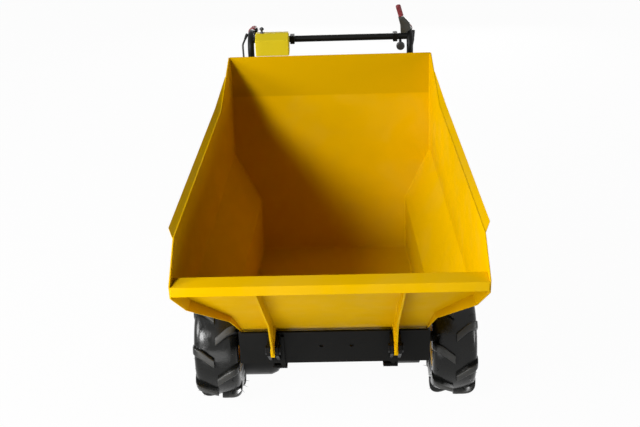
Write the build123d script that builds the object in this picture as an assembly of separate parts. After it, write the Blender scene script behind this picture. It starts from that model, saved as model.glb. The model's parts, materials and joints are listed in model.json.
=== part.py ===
"""Walk-behind four-wheel site dumper with a tipping skip.

Units are millimetres. The machine faces -Y, +X is the machine's left side and +Z is up.
The source is drawn about a datum on the ground under the front axle: Y = 0 is the front axle and Z = 0 the
ground. Each solid is moved back by Y_MIDDLE at the end, so the part's origin is the bottom centre of its box.
"""
import math
import os

from build123d import *

# ---------------------------------------------------------------- wheels
TYRE_R = 165.0            # outer radius over the lugs: a 13 x 5.00-6 tyre
TYRE_W = 127.0            # width over the lugs
TYRE_BULGE = 57.0         # half width of the carcass at its widest
LUG_H = 15.0              # height of a lug over the carcass
LUGS = 8                  # lugs on each half of the tread
LUG_W = 25.0              # length of tread that a lug covers
LUG_SKEW = 42.0           # how far a lug's outer end lies ahead of its inner end
LUG_DRAFT = 3.0           # each flank of a lug leans this much
FACETS = 20               # flat sides of a tyre, a rim, a bar or a drum, which keeps them light
BEAD_R = 77.0             # radius of the tyre's bore
RIM_FLANGE_R = 92.0
RIM_FLANGE_W = 106.0      # over the two flanges
RIM_T = 4.0
RIM_DISC_X = 14.0         # the disc stands this far outboard of the rim's centre
HUB_R = 32.0
HUB_SIDES = 12
RIM_SLOTS = 4
RIM_SLOT_R = (42.0, 60.0)
RIM_SLOT_W = (20.0, 30.0)
FIT = 0.3                 # clearance between faces that seat on each other
WHEEL_X = 328.5           # half track, to the tyre's centre plane
REAR_AXLE_Y = 500.0       # wheelbase

# ---------------------------------------------------------------- chassis
RAIL_X = 148.0            # centre of a rail
RAIL_W = 40.0
RAIL_Z = (208.0, 284.0)
RAIL_T = 5.0
RAIL_END_Y = 640.0
HANGER_T = 8.0            # plates under the rails that carry the axles
HANGER_TOP_W = 120.0
HANGER_FOOT_W = 80.0
PLATE_Y = -205.0          # front face of the front plate
PLATE_T = 8.0
PLATE_W = 504.0
PLATE_Z = (228.0, 325.0)
PLATE_HOLE_R = 5.5
PLATE_HOLE_X = (-35.0, 45.0)
PLATE_HOLE_Z = 282.0
PLATE_LUG_X = (-138.0, 154.0)
PLATE_LUG_DROP = (15.0, 8.0)
PLATE_BAR = 9.0           # a bar over the first lug stands this far out of the plate
DECK_T = 6.0
DECK_Y0 = 352.0           # front edge of the engine deck
DECK_W = 336.0
PAD_R = 20.0
PAD_Y = 215.0
MOVING_GAP = 5.5          # clearance of moving pieces

# ---------------------------------------------------------------- axles and drive
AXLE_R = 30.0
STUB_R = 15.0
STUB_END_X = 356.0
DRUM_R = 75.0             # brake drum on the left of each axle
DRUM_X = (172.0, 238.0)
CASE_R = 100.0            # chain case round the front axle
CASE_REAR_R = 75.0
CASE_X = (172.0, 259.0)   # its two bosses, on the right
CASE_NOSE_X = 150.0       # the front boss is domed inwards as far as this
CASE_NOSE_R = 68.0
CASE_PLATE_X = (196.0, 240.0)
GEARBOX_X = (-77.0, 112.0)
GEARBOX_Y = (262.0, 440.0)
GEARBOX_Z = (112.0, 268.0)
GEARBOX_CHAMFER = 18.0
DRIVE_Y = 302.0           # output shaft to the chain case
DRIVE_Z = 148.0

# ---------------------------------------------------------------- skip
SHEET_T = 3.0
FLOOR_Z = 298.0           # top of the floor
FLOOR_Y = (-156.0, 291.0)
FOLDS_LIP = (446.0, 586.0)    # heights of the two folds along a side, at the lip
FOLDS_BACK = (450.0, 597.0)   # and at the back's top edge
RIM_Z = 804.0
RIM_FRONT_Y = -547.0
RIM_REAR_Y = 166.0        # here the side starts to rise to the back's top corner
LIP_Y = -633.0
LIP_Z = 735.0
BACK_BEND = (374.0, 765.0)    # (Y, Z) of the crease across the back
BACK_TOP = (380.0, 884.0)     # (Y, Z) of the back's top edge
HALF_W_LIP = 331.0        # inside half width of the upper side at the lip
HALF_W_BACK = 289.0       # and at the back's top edge
WAIST_LIP = 62.0          # how far the low wall stands inside the upper side at the lip
WAIST_BACK = 76.0         # and at the back's top edge
FLANGE_W = 14.0
FLANGE_RISE = 7.0         # the flange rises this much to its outer edge
FLANGE_LEAD = 32.0        # length over which the flange comes out at the front
FLANGE_END_Y = 300.0      # and where it has tapered away at the back
LIP_W = 36.0
LIP_DROP = 22.0
LIP_LEAN = 3.0            # the lip's front face leans this far forward
SIDE_DROP = 30.0          # a side's front edge is upright this far down, then slopes to the floor
RIB_X = 159.0
RIB_T = 4.5
TAB_T = 10.0              # a rib's foot, which carries the hinge pin, is thicker
RIB_STAND = 32.0          # how far a rib stands out of the front panel
RIB_BEND = 235.0          # its straight front edge ends this far up the panel
TAB_UP = 95.0             # the foot ends this far up the panel
STIFFENER_X = 70.0        # flat bars under the floor
STIFFENER_T = 5.0
STIFFENER_H = 18.0
STIFFENER_Y = (-140.0, 236.0)

# ---------------------------------------------------------------- hinge and latch
HINGE_Y = -255.0
HINGE_Z = 306.0
HINGE_TAB_R = 20.0
PIN_R = 8.0
PIN_HEAD = 5.0
PIN_CLEAR = 0.05
EAR_T = 8.0
EAR_R = 18.0
TIP_DEG = 75.0            # the skip tips this far forward
STRIKER_Y = (250.0, 280.0)
STRIKER_W = 40.0
STRIKER_H = 24.0
PAWL_SHAFT_R = 6.0        # over the corners of its hexagon
PAWL_Y = 232.0
PAWL_Z = 246.0

# ---------------------------------------------------------------- handles and controls
TUBE_R = 10.0
TUBE_SIDES = 8
TUBE_BEND = 50.0
HANDLE_X = 246.0
HANDLE_FOOT_X = 184.0
HANDLE_FOOT_Y = 590.0
HANDLE_Y = 604.0
HANDLE_Z = 880.0          # the corner that the bend at the top rounds off
HANDLE_KNEE_Z = 520.0
GRIP_END_Y = 772.0
GRIP_DROOP = 12.0         # degrees that the grips hang down
GRIP_R = 12.5
GRIP_END_T = 3.0
BAR_R = 10.0
CABLE_R = 3.0
CABLE_SIDES = 6
CABLE_BOW = 13.0          # the right cable bows out from its handle by this much
CONSOLE_X = (-229.0, -126.0)
CONSOLE_T = 46.0          # from front to back
CONSOLE_Z = (822.0, 871.0, 885.0)
CONSOLE_SLOPE = 30.0
KNOB_R = 7.0
KNOB_STEM = 13.0
TIP_LEVER_X = 236.0
TIP_LEVER_W = 28.0
TIP_LEVER_H = 52.0        # of its bracket, over the crossbar
TIP_LEVER_LEAN = 9.0      # the bracket's top stands this far inwards
TIP_GRIP_R = 8.0
TIP_GRIP_L = 32.0
TIP_GRIP_LEAN = 16.0
THROTTLE_R = 13.0

# ---------------------------------------------------------------- engine, sizes from its crankshaft
CRANK_Y = 480.0
CRANK_Z = 392.0
BLOCK_HALF_X = 78.0
BLOCK_FRONT = 85.0
BLOCK_REAR = 70.0
BLOCK_TOP = 60.0
BLOCK_CHAMFER = 22.0
FOOT_T = 12.0
FOOT_OUT = 10.0
CYLINDER_TILT = 25.0      # degrees up from level, towards the rear
CYLINDER_OUT = 40.0       # centre of its foot, behind the crankshaft
CYLINDER_W = 88.0
CYLINDER_L = 120.0
FINS = 8
FIN_T = 3.0
FIN_PITCH = 9.0
FIN_START = 50.0
FIN_W = 124.0
FIN_H = 116.0
COVER_W = 84.0            # valve cover
COVER_T = 24.0
FAN_R = 92.0
FAN_T = 44.0
CUP_R = 66.0
CUP_T = 16.0
CUP_SLOTS = 10
TANK_W = 210.0
TANK_Y = (-95.0, 22.0)
TANK_Z = (100.0, 192.0)
TANK_R = 26.0
CAP_R = 26.0
CAP_H = 20.0
AIR_X = (14.0, 112.0)
MUFFLER_X = (-112.0, -4.0)
HIGH_Y = (36.0, 130.0)    # both stand over the cylinder between these
HIGH_Z = (114.0, 200.0)
PULLEY_Y = 350.0
PULLEY_Z = 235.0
BELT_CASE_R = (70.0, 50.0)
BELT_CASE_T = 44.0

# the crossbar meets the handles at the middle of their top bends
DROOP = math.radians(GRIP_DROOP)
BEND_GAP = TUBE_BEND * (1 / math.cos((math.pi / 2 + DROOP) / 2) - 1)
BEND_LEAN = math.sqrt(2 + 2 * math.sin(DROOP))
BAR_Y = HANDLE_Y + BEND_GAP * math.cos(DROOP) / BEND_LEAN
BAR_Z = HANDLE_Z - BEND_GAP * (1 + math.sin(DROOP)) / BEND_LEAN

Y_MIDDLE = (LIP_Y - LIP_LEAN + GRIP_END_Y) / 2

SIDES = (("left", 1), ("right", -1))
ENDS = (("front", 0.0), ("rear", REAR_AXLE_Y))

parts = {}


def add(name, solid):
    parts[name] = solid


def prism(points, x0, x1):
    """A plate with its outline given as (Y, Z) points, from X = x0 to X = x1."""
    face = make_face(Plane.YZ * Polyline(*points, close=True))
    low, high = sorted((x0, x1))
    return Pos(low, 0, 0) * extrude(face, high - low, dir=(1, 0, 0))


def rod(x0, x1, y, z, radius):
    """A flat-sided bar or drum along X, its corners at the radius."""
    low, high = sorted((x0, x1))
    return Pos(low, y, z) * extrude(Plane.YZ * RegularPolygon(radius, FACETS), high - low, dir=(1, 0, 0))


def bore(x0, x1, y, z, radius):
    """A flat-sided bore along X, its flats at the radius, in which a rod can turn."""
    return rod(x0, x1, y, z, radius / math.cos(math.pi / FACETS))


def block(xs, ys, zs):
    """A box between pairs of X, Y and Z."""
    size = [abs(b - a) for a, b in (xs, ys, zs)]
    return Pos(*[(a + b) / 2 for a, b in (xs, ys, zs)]) * Box(*size)


def round_two(x0, x1, first, second):
    """A plate round two circles, each given as (Y, Z, radius), from X = x0 to X = x1."""
    (ya, za, ra), (yb, zb, rb) = first, second
    line = math.atan2(zb - za, yb - ya)
    touch = math.acos((ra - rb) / math.hypot(yb - ya, zb - za))
    arcs = ((first, line + touch, 2 * (math.pi - touch)), (second, line - touch, 2 * touch))
    outline = []
    for (y, z, r), start, span in arcs:
        steps = round(FACETS * span / (2 * math.pi))
        for k in range(steps + 1):
            a = start + span * k / steps
            outline.append((y + r * math.cos(a), z + r * math.sin(a)))
    return prism(outline, x0, x1)


def turned_corners(width, depth, radius, steps=3):
    """A rectangle about the origin whose corners are turned in a few flat steps."""
    points = []
    for quarter, (sx, sy) in enumerate(((1, 1), (-1, 1), (-1, -1), (1, -1))):
        for k in range(steps + 1):
            a = math.radians(90 * (quarter + k / steps))
            x = sx * (width / 2 - radius) + radius * math.cos(a)
            points.append((x, sy * (depth / 2 - radius) + radius * math.sin(a)))
    return make_face(Polyline(*points, close=True))


def tube(points, radii, radius, sides):
    """A bent bar with flat sides, along straight runs joined by arcs."""
    path = FilletPolyline(*points, radius=radii)
    return sweep(Plane(origin=path @ 0, z_dir=path % 0) * RegularPolygon(radius, sides), path=path)


def flat_solid(faces):
    """A solid from the corner lists of its flat faces."""
    return Solid(Shell([Face(Wire.make_polygon([Vector(*p) for p in f], close=True)) for f in faces]))


def about_x(x, radius, angle):
    """The point at X and a radius, turned from the top towards the rear by an angle in radians."""
    return x, radius * math.sin(angle), radius * math.cos(angle)


def ring_of_facets(profile):
    """A ring about the X axis with flat sides, its closed profile given as (X, radius) points."""
    step = 2 * math.pi / FACETS
    faces = []
    for i in range(FACETS):
        for (x0, r0), (x1, r1) in zip(profile, profile[1:] + profile[:1]):
            a, b = i * step, (i + 1) * step
            faces.append([about_x(x0, r0, a), about_x(x1, r1, a), about_x(x1, r1, b), about_x(x0, r0, b)])
    return flat_solid(faces)


# ---------------------------------------------------------------- wheels
def lug(half_sign):
    """One lug at the top of the tyre, on the half of the tread that half_sign gives."""
    carcass_r, half = TYRE_R - LUG_H, TYRE_W / 2
    # stations along the lug: X, how far along its skew, radius of its underside, radius of its top
    stations = (
        (3.0, 0.0, carcass_r - 5, TYRE_R),
        (half * 0.54, 0.68, carcass_r - 8, TYRE_R),
        (half, 1.0, carcass_r * 0.82, TYRE_R - 9),
    )
    rings = []
    for x, along, low_r, top_r in stations:
        middle = LUG_SKEW * (along - 0.72) / TYRE_R
        foot, head = (LUG_W / 2 + LUG_DRAFT) / TYRE_R, (LUG_W / 2 - LUG_DRAFT) / TYRE_R
        corners = ((low_r, -foot), (low_r, foot), (top_r, head), (top_r, -head))
        rings.append([about_x(half_sign * x, r, middle + a) for r, a in corners])
    faces = [rings[0], rings[-1]]
    for here, there in zip(rings, rings[1:]):
        for k in range(4):
            m = (k + 1) % 4
            faces += [[here[k], here[m], there[m]], [here[k], there[m], there[k]]]
    return flat_solid(faces)


def tyre():
    """The tyre about its own centre: a flat-sided carcass and a chevron of lugs."""
    carcass_r = TYRE_R - LUG_H
    bead_x = RIM_FLANGE_W / 2 - RIM_T - FIT
    outline = [
        (bead_x, BEAD_R),
        (bead_x, RIM_FLANGE_R),
        (TYRE_BULGE, carcass_r * 0.75),
        (TYRE_BULGE - 1, carcass_r * 0.87),
        (TYRE_BULGE * 0.82, carcass_r * 0.95),
        (TYRE_BULGE * 0.45, carcass_r),
    ]
    outline += [(-x, r) for x, r in reversed(outline)]
    lugs = []
    step = 360.0 / LUGS
    for i in range(LUGS):
        lugs.append(Rot(-i * step, 0, 0) * lug(1))
        lugs.append(Rot(-(i + 0.5) * step, 0, 0) * lug(-1))
    return ring_of_facets(outline) + lugs


def rim():
    """A pressed steel rim about its own centre, its outboard side towards +X."""
    half = RIM_FLANGE_W / 2
    seat = BEAD_R - FIT
    well = seat - RIM_T
    disc = (RIM_DISC_X, RIM_DISC_X + RIM_T)
    body = ring_of_facets([
        (-half, RIM_FLANGE_R),
        (-half + RIM_T, seat),
        (half - RIM_T, seat),
        (half, RIM_FLANGE_R),
        (half, well),
        (disc[1], well),
        (disc[1], STUB_R - 2),
        (disc[0], STUB_R - 2),
        (disc[0], well),
        (-half, well),
    ])
    hub = Plane.YZ * RegularPolygon(HUB_R, HUB_SIDES)
    body += Pos(-half + 8, 0, 0) * extrude(hub, disc[1] + half - 8, dir=(1, 0, 0))
    body -= bore(-half, half, 0, 0, STUB_R + PIN_CLEAR)
    (r0, r1), (w0, w1) = RIM_SLOT_R, RIM_SLOT_W
    slot = prism([(-w0 / 2, r0), (w0 / 2, r0), (w1 / 2, r1), (-w1 / 2, r1)], disc[0] - 1, disc[1] + 1)
    for i in range(RIM_SLOTS):
        body -= Rot(360.0 / RIM_SLOTS * (i + 0.5), 0, 0) * slot
    return body


def wheels():
    rubber, steel = tyre(), rim()
    # the turn that puts a corner of a lug's top on the ground
    lead = math.degrees((LUG_W / 2 - LUG_DRAFT - LUG_SKEW * 0.04) / TYRE_R)
    turn = Rot(180 + lead, 0, 0)
    for end, y in ENDS:
        for side, s in SIDES:
            place = Pos(s * WHEEL_X, y, TYRE_R)
            add(f"tyre_{end}_{side}", place * turn * rubber)
            add(f"rim_{end}_{side}", place * turn * (steel if s > 0 else mirror(steel, Plane.YZ)))


# ---------------------------------------------------------------- skip
def between(y, at_lip, at_back):
    """A value that changes evenly from the lip to the back's top edge."""
    return at_back + (BACK_TOP[0] - y) * (at_lip - at_back) / (BACK_TOP[0] - LIP_Y)


def side_x(y):
    """Inside half width of the upper side at Y."""
    return between(y, HALF_W_LIP, HALF_W_BACK)


def wall_line(y):
    """The inside face of a side wall at Y, as (X, Z) points from the floor up."""
    wide, low = side_x(y), FLOOR_Z - SHEET_T
    narrow = wide - between(y, WAIST_LIP, WAIST_BACK)
    fold_low, fold_high = [between(y, a, b) for a, b in zip(FOLDS_LIP, FOLDS_BACK)]
    return [(narrow, low), (narrow, fold_low), (wide, fold_high), (wide, BACK_TOP[1] + 20)]


def side_section(y):
    inner = wall_line(y)
    return inner + [(x + SHEET_T, z) for x, z in reversed(inner)]


def inside_section(y):
    inner = wall_line(y)
    return inner + [(-x, z) for x, z in reversed(inner)]


def folded(points_at):
    """A solid whose section across the machine, points_at(Y), changes evenly along the skip."""
    ends = []
    for y in (LIP_Y - 20, BACK_TOP[0] + 30):
        ends.append(make_face(Polyline(*[(x, y, z) for x, z in points_at(y)], close=True)))
    return loft(ends, ruled=True)


def back_y(z):
    """Y of the back's inside face below its crease."""
    return FLOOR_Y[1] + (z - FLOOR_Z) * (BACK_BEND[0] - FLOOR_Y[1]) / (BACK_BEND[1] - FLOOR_Z)


PANEL_FOOT = (FLOOR_Y[0], FLOOR_Z)
PANEL_HEAD = (LIP_Y + LIP_W, LIP_Z)
PANEL_L = math.hypot(PANEL_HEAD[0] - PANEL_FOOT[0], PANEL_HEAD[1] - PANEL_FOOT[1])
PANEL_U = ((PANEL_HEAD[0] - PANEL_FOOT[0]) / PANEL_L, (PANEL_HEAD[1] - PANEL_FOOT[1]) / PANEL_L)


def on_panel(along, out):
    """(Y, Z) of a point on the front panel, so far up from its foot and so far out of its inside face."""
    uy, uz = PANEL_U
    return PANEL_FOOT[0] + uy * along - uz * out, PANEL_FOOT[1] + uz * along + uy * out


def skip_sides():
    low = FLOOR_Z - SHEET_T
    top_edge = [(RIM_FRONT_Y, RIM_Z), (RIM_REAR_Y, RIM_Z), BACK_TOP]
    outline = [(FLOOR_Y[0] - 2, low), (LIP_Y, LIP_Z - SIDE_DROP), (LIP_Y, LIP_Z), *top_edge, BACK_BEND, (back_y(low), low)]
    side = folded(side_section) & prism(outline, 0, HALF_W_LIP + 50)
    # the flange's sections: Y, the height of the top edge there, and how far the flange stands out
    climb = (BACK_TOP[1] - RIM_Z) / (BACK_TOP[0] - RIM_REAR_Y)
    stations = (
        (RIM_FRONT_Y, RIM_Z, 1.0),
        (RIM_FRONT_Y + FLANGE_LEAD, RIM_Z, FLANGE_W),
        (RIM_REAR_Y, RIM_Z, FLANGE_W),
        (FLANGE_END_Y, RIM_Z + (FLANGE_END_Y - RIM_REAR_Y) * climb, 1.0),
    )
    sections = []
    for y, z, w in stations:
        x, rise = side_x(y) + SHEET_T, w * FLANGE_RISE / FLANGE_W
        corners = [(x - 1, y, z), (x, y, z), (x + w, y, z + rise), (x + w, y, z + rise - SHEET_T), (x - 1, y, z - SHEET_T)]
        sections.append(make_face(Polyline(*corners, close=True)))
    for front, rear in zip(sections, sections[1:]):
        side += loft([front, rear], ruled=True)
    add("skip_side_left", side)
    add("skip_side_right", mirror(side, Plane.YZ))


def skip_panels():
    low, wide = FLOOR_Z - SHEET_T, HALF_W_LIP + 50
    inside = folded(inside_section)
    floor = inside & block((-wide, wide), FLOOR_Y, (low, FLOOR_Z))
    for x in (-STIFFENER_X, STIFFENER_X):
        floor += block((x - STIFFENER_T / 2, x + STIFFENER_T / 2), STIFFENER_Y, (low - STIFFENER_H, low))
    add("skip_floor", floor)
    back = [(FLOOR_Y[1], low), BACK_BEND, BACK_TOP]
    back += [(y + SHEET_T, z) for y, z in reversed(back)]
    add("skip_back", inside & prism(back, -wide, wide))
    under_lip = LIP_Z - SHEET_T
    front = [
        on_panel(0, 0),
        PANEL_HEAD,
        (LIP_Y - 1, under_lip),
        (LIP_Y - LIP_LEAN, under_lip - LIP_DROP),
        (LIP_Y - LIP_LEAN + SHEET_T, under_lip - LIP_DROP),
        (LIP_Y + SHEET_T, under_lip - SHEET_T),
        on_panel(PANEL_L - 2, SHEET_T),
        on_panel(SHEET_T, SHEET_T),
    ]
    add("skip_front", inside & prism(front, -wide, wide))


def skip_ribs():
    bend = on_panel(RIB_BEND, SHEET_T + RIB_STAND)
    ty, tz = HINGE_Y - bend[0], HINGE_Z - bend[1]
    t = math.hypot(ty, tz)
    rib = [
        on_panel(PANEL_L - 24, SHEET_T),
        on_panel(PANEL_L - 8, SHEET_T + RIB_STAND),
        bend,
        (HINGE_Y + HINGE_TAB_R * tz / t, HINGE_Z - HINGE_TAB_R * ty / t),
        (HINGE_Y, HINGE_Z - HINGE_TAB_R),
        on_panel(16, SHEET_T),
    ]
    foot = [
        on_panel(TAB_UP, SHEET_T),
        on_panel(TAB_UP, SHEET_T + RIB_STAND),
        (HINGE_Y + HINGE_TAB_R * tz / t, HINGE_Z - HINGE_TAB_R * ty / t),
        (HINGE_Y, HINGE_Z - HINGE_TAB_R),
        on_panel(16, SHEET_T),
    ]
    for side, s in SIDES:
        x0, x1 = s * RIB_X - TAB_T / 2, s * RIB_X + TAB_T / 2
        plate = prism(rib, s * RIB_X - RIB_T / 2, s * RIB_X + RIB_T / 2)
        plate += prism(foot, x0, x1)
        plate += rod(x0, x1, HINGE_Y, HINGE_Z, HINGE_TAB_R)
        add(f"skip_rib_{side}", plate - bore(x0 - 1, x1 + 1, HINGE_Y, HINGE_Z, PIN_R + PIN_CLEAR))


def latch():
    """The striker under the skip, and the pawl on its cross shaft between the rails."""
    low = FLOOR_Z - SHEET_T
    y0, y1 = STRIKER_Y
    base = low - 6
    striker = block((-STRIKER_W / 2, STRIKER_W / 2), STRIKER_Y, (base, low))
    striker += prism([(y0 + 8, base), (y1 - 8, base), (y1 - 8, low - STRIKER_H), (y0 + 12, low - STRIKER_H)], -4, 4)
    add("latch_striker", striker)
    reach = RAIL_X + RAIL_W / 2 - RAIL_T - FIT
    shaft = Plane.YZ * RegularPolygon(PAWL_SHAFT_R, 6)
    pawl = Pos(-reach, PAWL_Y, PAWL_Z) * extrude(shaft, 2 * reach, dir=(1, 0, 0))
    nose_y, nose_z = y0 - MOVING_GAP, base - MOVING_GAP
    hook = [
        (PAWL_Y - 14, PAWL_Z - 12),
        (PAWL_Y + 12, PAWL_Z - 12),
        (nose_y, nose_z - 22),
        (nose_y, nose_z),
        (nose_y - 12, nose_z - 6),
        (PAWL_Y - 14, PAWL_Z + 12),
    ]
    add("latch_pawl", pawl + prism(hook, -5, 5))


# ---------------------------------------------------------------- chassis
def rails():
    low, top = RAIL_Z
    ys = (PLATE_Y + PLATE_T, RAIL_END_Y)
    for side, s in SIDES:
        inner, outer = s * (RAIL_X - RAIL_W / 2), s * (RAIL_X + RAIL_W / 2)
        rail = block((inner, outer), ys, RAIL_Z)
        rail -= block((inner - s, outer - s * RAIL_T), (ys[0] - 1, ys[1] + 1), (low + RAIL_T, top - RAIL_T))
        for _, y in ENDS:
            foot_z = TYRE_R - AXLE_R + 8
            hanger = [
                (y - HANGER_TOP_W / 2, low),
                (y + HANGER_TOP_W / 2, low),
                (y + HANGER_FOOT_W / 2, foot_z),
                (y - HANGER_FOOT_W / 2, foot_z),
            ]
            plate = prism(hanger, inner, inner + s * HANGER_T)
            rail += plate - rod(inner - s, inner + s * (HANGER_T + 1), y, TYRE_R, AXLE_R + FIT)
        add(f"rail_{side}", rail)


def front_plate():
    low, top = PLATE_Z
    slot = TAB_T / 2 + 1.5
    ys = (PLATE_Y, PLATE_Y + PLATE_T)
    plate = block((-PLATE_W / 2, PLATE_W / 2), ys, PLATE_Z)
    for x in PLATE_HOLE_X:
        plate -= Pos(x, PLATE_Y, PLATE_HOLE_Z) * Rot(90, 0, 0) * Cylinder(PLATE_HOLE_R, 4 * PLATE_T)
    round_end = [about_x(0, EAR_R, math.radians(a))[1:] for a in (0, -40, -80, -120, -160)]
    ear = [(PLATE_Y, low + 8), (PLATE_Y, HINGE_Z + EAR_R - 4)]
    ear += [(HINGE_Y + y, HINGE_Z + z) for y, z in round_end]
    for side, s in SIDES:
        x = s * RIB_X
        plate -= block((x - slot, x + slot), (ys[0] - 1, ys[1] + 1), (HINGE_Z - 24, top + 1))
        for e in (-1, 1):
            plate += prism(ear, x + e * slot, x + e * (slot + EAR_T))
        plate -= rod(x - 30, x + 30, HINGE_Y, HINGE_Z, PIN_R + FIT)
        over_ears = slot + EAR_T + FIT
        pin = rod(x - over_ears - 2, x + over_ears + 2, HINGE_Y, HINGE_Z, PIN_R)
        head = Plane.YZ * RegularPolygon(PIN_R + 5, 6)
        for x0 in (x - over_ears - PIN_HEAD, x + over_ears):
            pin += Pos(x0, HINGE_Y, HINGE_Z) * extrude(head, PIN_HEAD, dir=(1, 0, 0))
        add(f"hinge_pin_{side}", pin)
    bar = PLATE_LUG_X[0]
    plate += block((bar - 3, bar + 5), (PLATE_Y - PLATE_BAR, PLATE_Y), (low, top - 8))
    for x, drop in zip(PLATE_LUG_X, PLATE_LUG_DROP):
        tab = make_face(Polyline((x - 8, low), (x + 8, low), (x + 5, low - drop), (x - 2, low - drop), close=True))
        plate += Pos(0, PLATE_Y, 0) * extrude(Plane.XZ * tab, PLATE_T, dir=(0, 1, 0))
    add("front_plate", plate)


def deck_and_pads():
    low, top = RAIL_Z
    half = DECK_W / 2
    add("rear_plate", block((-half, half), (RAIL_END_Y, RAIL_END_Y + DECK_T), (low, top + DECK_T)))
    deck = block((-half, half), (DECK_Y0, RAIL_END_Y), (top, top + DECK_T))
    belt_in, belt_out = -BLOCK_HALF_X + 1, -BLOCK_HALF_X - BELT_CASE_T - 6
    belt_y = (DECK_Y0 - 1, CRANK_Y + 12)
    deck -= block((belt_out, belt_in), belt_y, (top - 1, top + DECK_T + 1))
    add("engine_deck", deck)
    pad_top = FLOOR_Z - SHEET_T - MOVING_GAP
    pad = extrude(RegularPolygon(PAD_R, 12), pad_top - top)
    pads = [Pos(s * RAIL_X, PAD_Y, top) * pad for _, s in SIDES]
    add("rest_pads", Compound(children=pads))


def axles():
    nut = Plane.YZ * RegularPolygon(STUB_R + 8, 6)
    nut_x = WHEEL_X + RIM_DISC_X + RIM_T + 1
    for end, y in ENDS:
        inner = CASE_NOSE_X if end == "front" else CASE_X[0]
        axle = rod(-inner + FIT, DRUM_X[0], y, TYRE_R, AXLE_R)
        axle += rod(*DRUM_X, y, TYRE_R, DRUM_R)
        axle += rod(-STUB_END_X, STUB_END_X, y, TYRE_R, STUB_R)
        for x0 in (-STUB_END_X, nut_x):
            axle += Pos(x0, y, TYRE_R) * extrude(nut, STUB_END_X - nut_x, dir=(1, 0, 0))
        add(f"{end}_axle", axle)


def chain_case():
    inner, outer = CASE_X
    ends = [(0, TYRE_R, CASE_R - 4), (REAR_AXLE_Y, TYRE_R, CASE_REAR_R - 4)]
    case = round_two(-CASE_PLATE_X[1], -CASE_PLATE_X[0], *ends)
    case += rod(-outer, -inner, REAR_AXLE_Y, TYRE_R, CASE_REAR_R)
    bore = STUB_R - 2
    nose = ring_of_facets([
        (-outer, bore), (-outer, CASE_R), (-inner - 12, CASE_R), (-inner + 6, CASE_R * 0.92),
        (-CASE_NOSE_X, CASE_NOSE_R), (-CASE_NOSE_X, bore),
    ])
    nose -= block((-RAIL_X - RAIL_W / 2 - FIT, 0), (-CASE_R, CASE_R), (RAIL_Z[0] - TYRE_R - FIT, CASE_R + 1))
    case += Pos(0, 0, TYRE_R) * nose
    for _, y in ENDS:
        case -= rod(-outer - 1, 0, y, TYRE_R, STUB_R + FIT)
    add("chain_case", case)


def gearbox():
    right, left = GEARBOX_X
    (y0, y1), (z0, z1) = GEARBOX_Y, GEARBOX_Z
    c = GEARBOX_CHAMFER
    outline = [
        (y0, z0 + c), (y0 + c, z0), (y1 - 3 * c, z0), (y1, z0 + 3 * c),
        (y1, z1 - c), (y1 - c, z1), (y0 + c, z1), (y0, z1 - c),
    ]
    box = prism(outline, right, left)
    middle = (right + left) / 2
    box += prism([(y + math.copysign(6, y - (y0 + y1) / 2), z) for y, z in outline], middle - 5, middle + 5)
    foot = RAIL_Z[0] + RAIL_T
    reach = RAIL_X + RAIL_W / 2 - RAIL_T - FIT
    for y in (y0 + 14, y1 - 24):
        box += block((-reach, reach), (y, y + 20), (foot + FIT, foot + 12))
    box += rod(-CASE_PLATE_X[0] + FIT, right + 5, DRIVE_Y, DRIVE_Z, STUB_R)
    box += rod(right - 12, right + 5, DRIVE_Y, DRIVE_Z, STUB_R + 15)
    add("gearbox", box)


# ---------------------------------------------------------------- engine
def crankcase():
    deck, y, z = RAIL_Z[1] + DECK_T, CRANK_Y, CRANK_Z
    y0, y1, top, c = y - BLOCK_FRONT, y + BLOCK_REAR, z + BLOCK_TOP, BLOCK_CHAMFER
    outline = [(y0, deck), (y1, deck), (y1, top - 2 * c), (y1 - c, top), (y0 + c, top), (y0, top - c)]
    body = prism(outline, -BLOCK_HALF_X, BLOCK_HALF_X)
    body += block((-BLOCK_HALF_X, BLOCK_HALF_X), (y0 - FOOT_OUT, y1 + FOOT_OUT), (deck, deck + FOOT_T))
    filler = Plane.XZ * RegularPolygon(11, 6)
    body += Pos(BLOCK_HALF_X - 26, y0 + 4, deck + 34) * extrude(filler, 16, dir=(0, -1, 0))
    add("engine_crankcase", body)


def cylinder():
    """The finned barrel, head and valve cover, which lean back over the crankcase."""
    barrel = Pos(0, 0, CYLINDER_L / 2) * Box(CYLINDER_W, CYLINDER_W, CYLINDER_L)
    for i in range(FINS):
        barrel += Pos(0, 0, FIN_START + FIN_PITCH * i) * Box(FIN_W, FIN_H, FIN_T)
    cover = extrude(turned_corners(COVER_W, COVER_W, 14, 2), COVER_T, taper=12)
    barrel += Pos(0, 0, CYLINDER_L) * cover
    place = Pos(0, CRANK_Y + CYLINDER_OUT, CRANK_Z + 6) * Rot(-(90 - CYLINDER_TILT), 0, 0)
    add("engine_cylinder", (place * barrel) - parts["engine_crankcase"])


def recoil_starter():
    """The fan housing with its duct over the cylinder, and the slotted starter cup."""
    x0 = BLOCK_HALF_X + FIT
    housing = round_two(x0, x0 + FAN_T, (CRANK_Y, CRANK_Z + 4, FAN_R), (CRANK_Y + 62, CRANK_Z + 62, 34))
    x1 = x0 + FAN_T
    cup = rod(x1, x1 + CUP_T, CRANK_Y, CRANK_Z + 4, CUP_R)
    slot = prism([(-4, 24), (4, 24), (7, CUP_R - 10), (-7, CUP_R - 10)], x1 + CUP_T - 8, x1 + CUP_T + 1)
    for i in range(CUP_SLOTS):
        cup -= Pos(0, CRANK_Y, CRANK_Z + 4) * Rot(360.0 / CUP_SLOTS * i, 0, 0) * slot
    add("recoil_starter", housing + cup)


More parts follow.
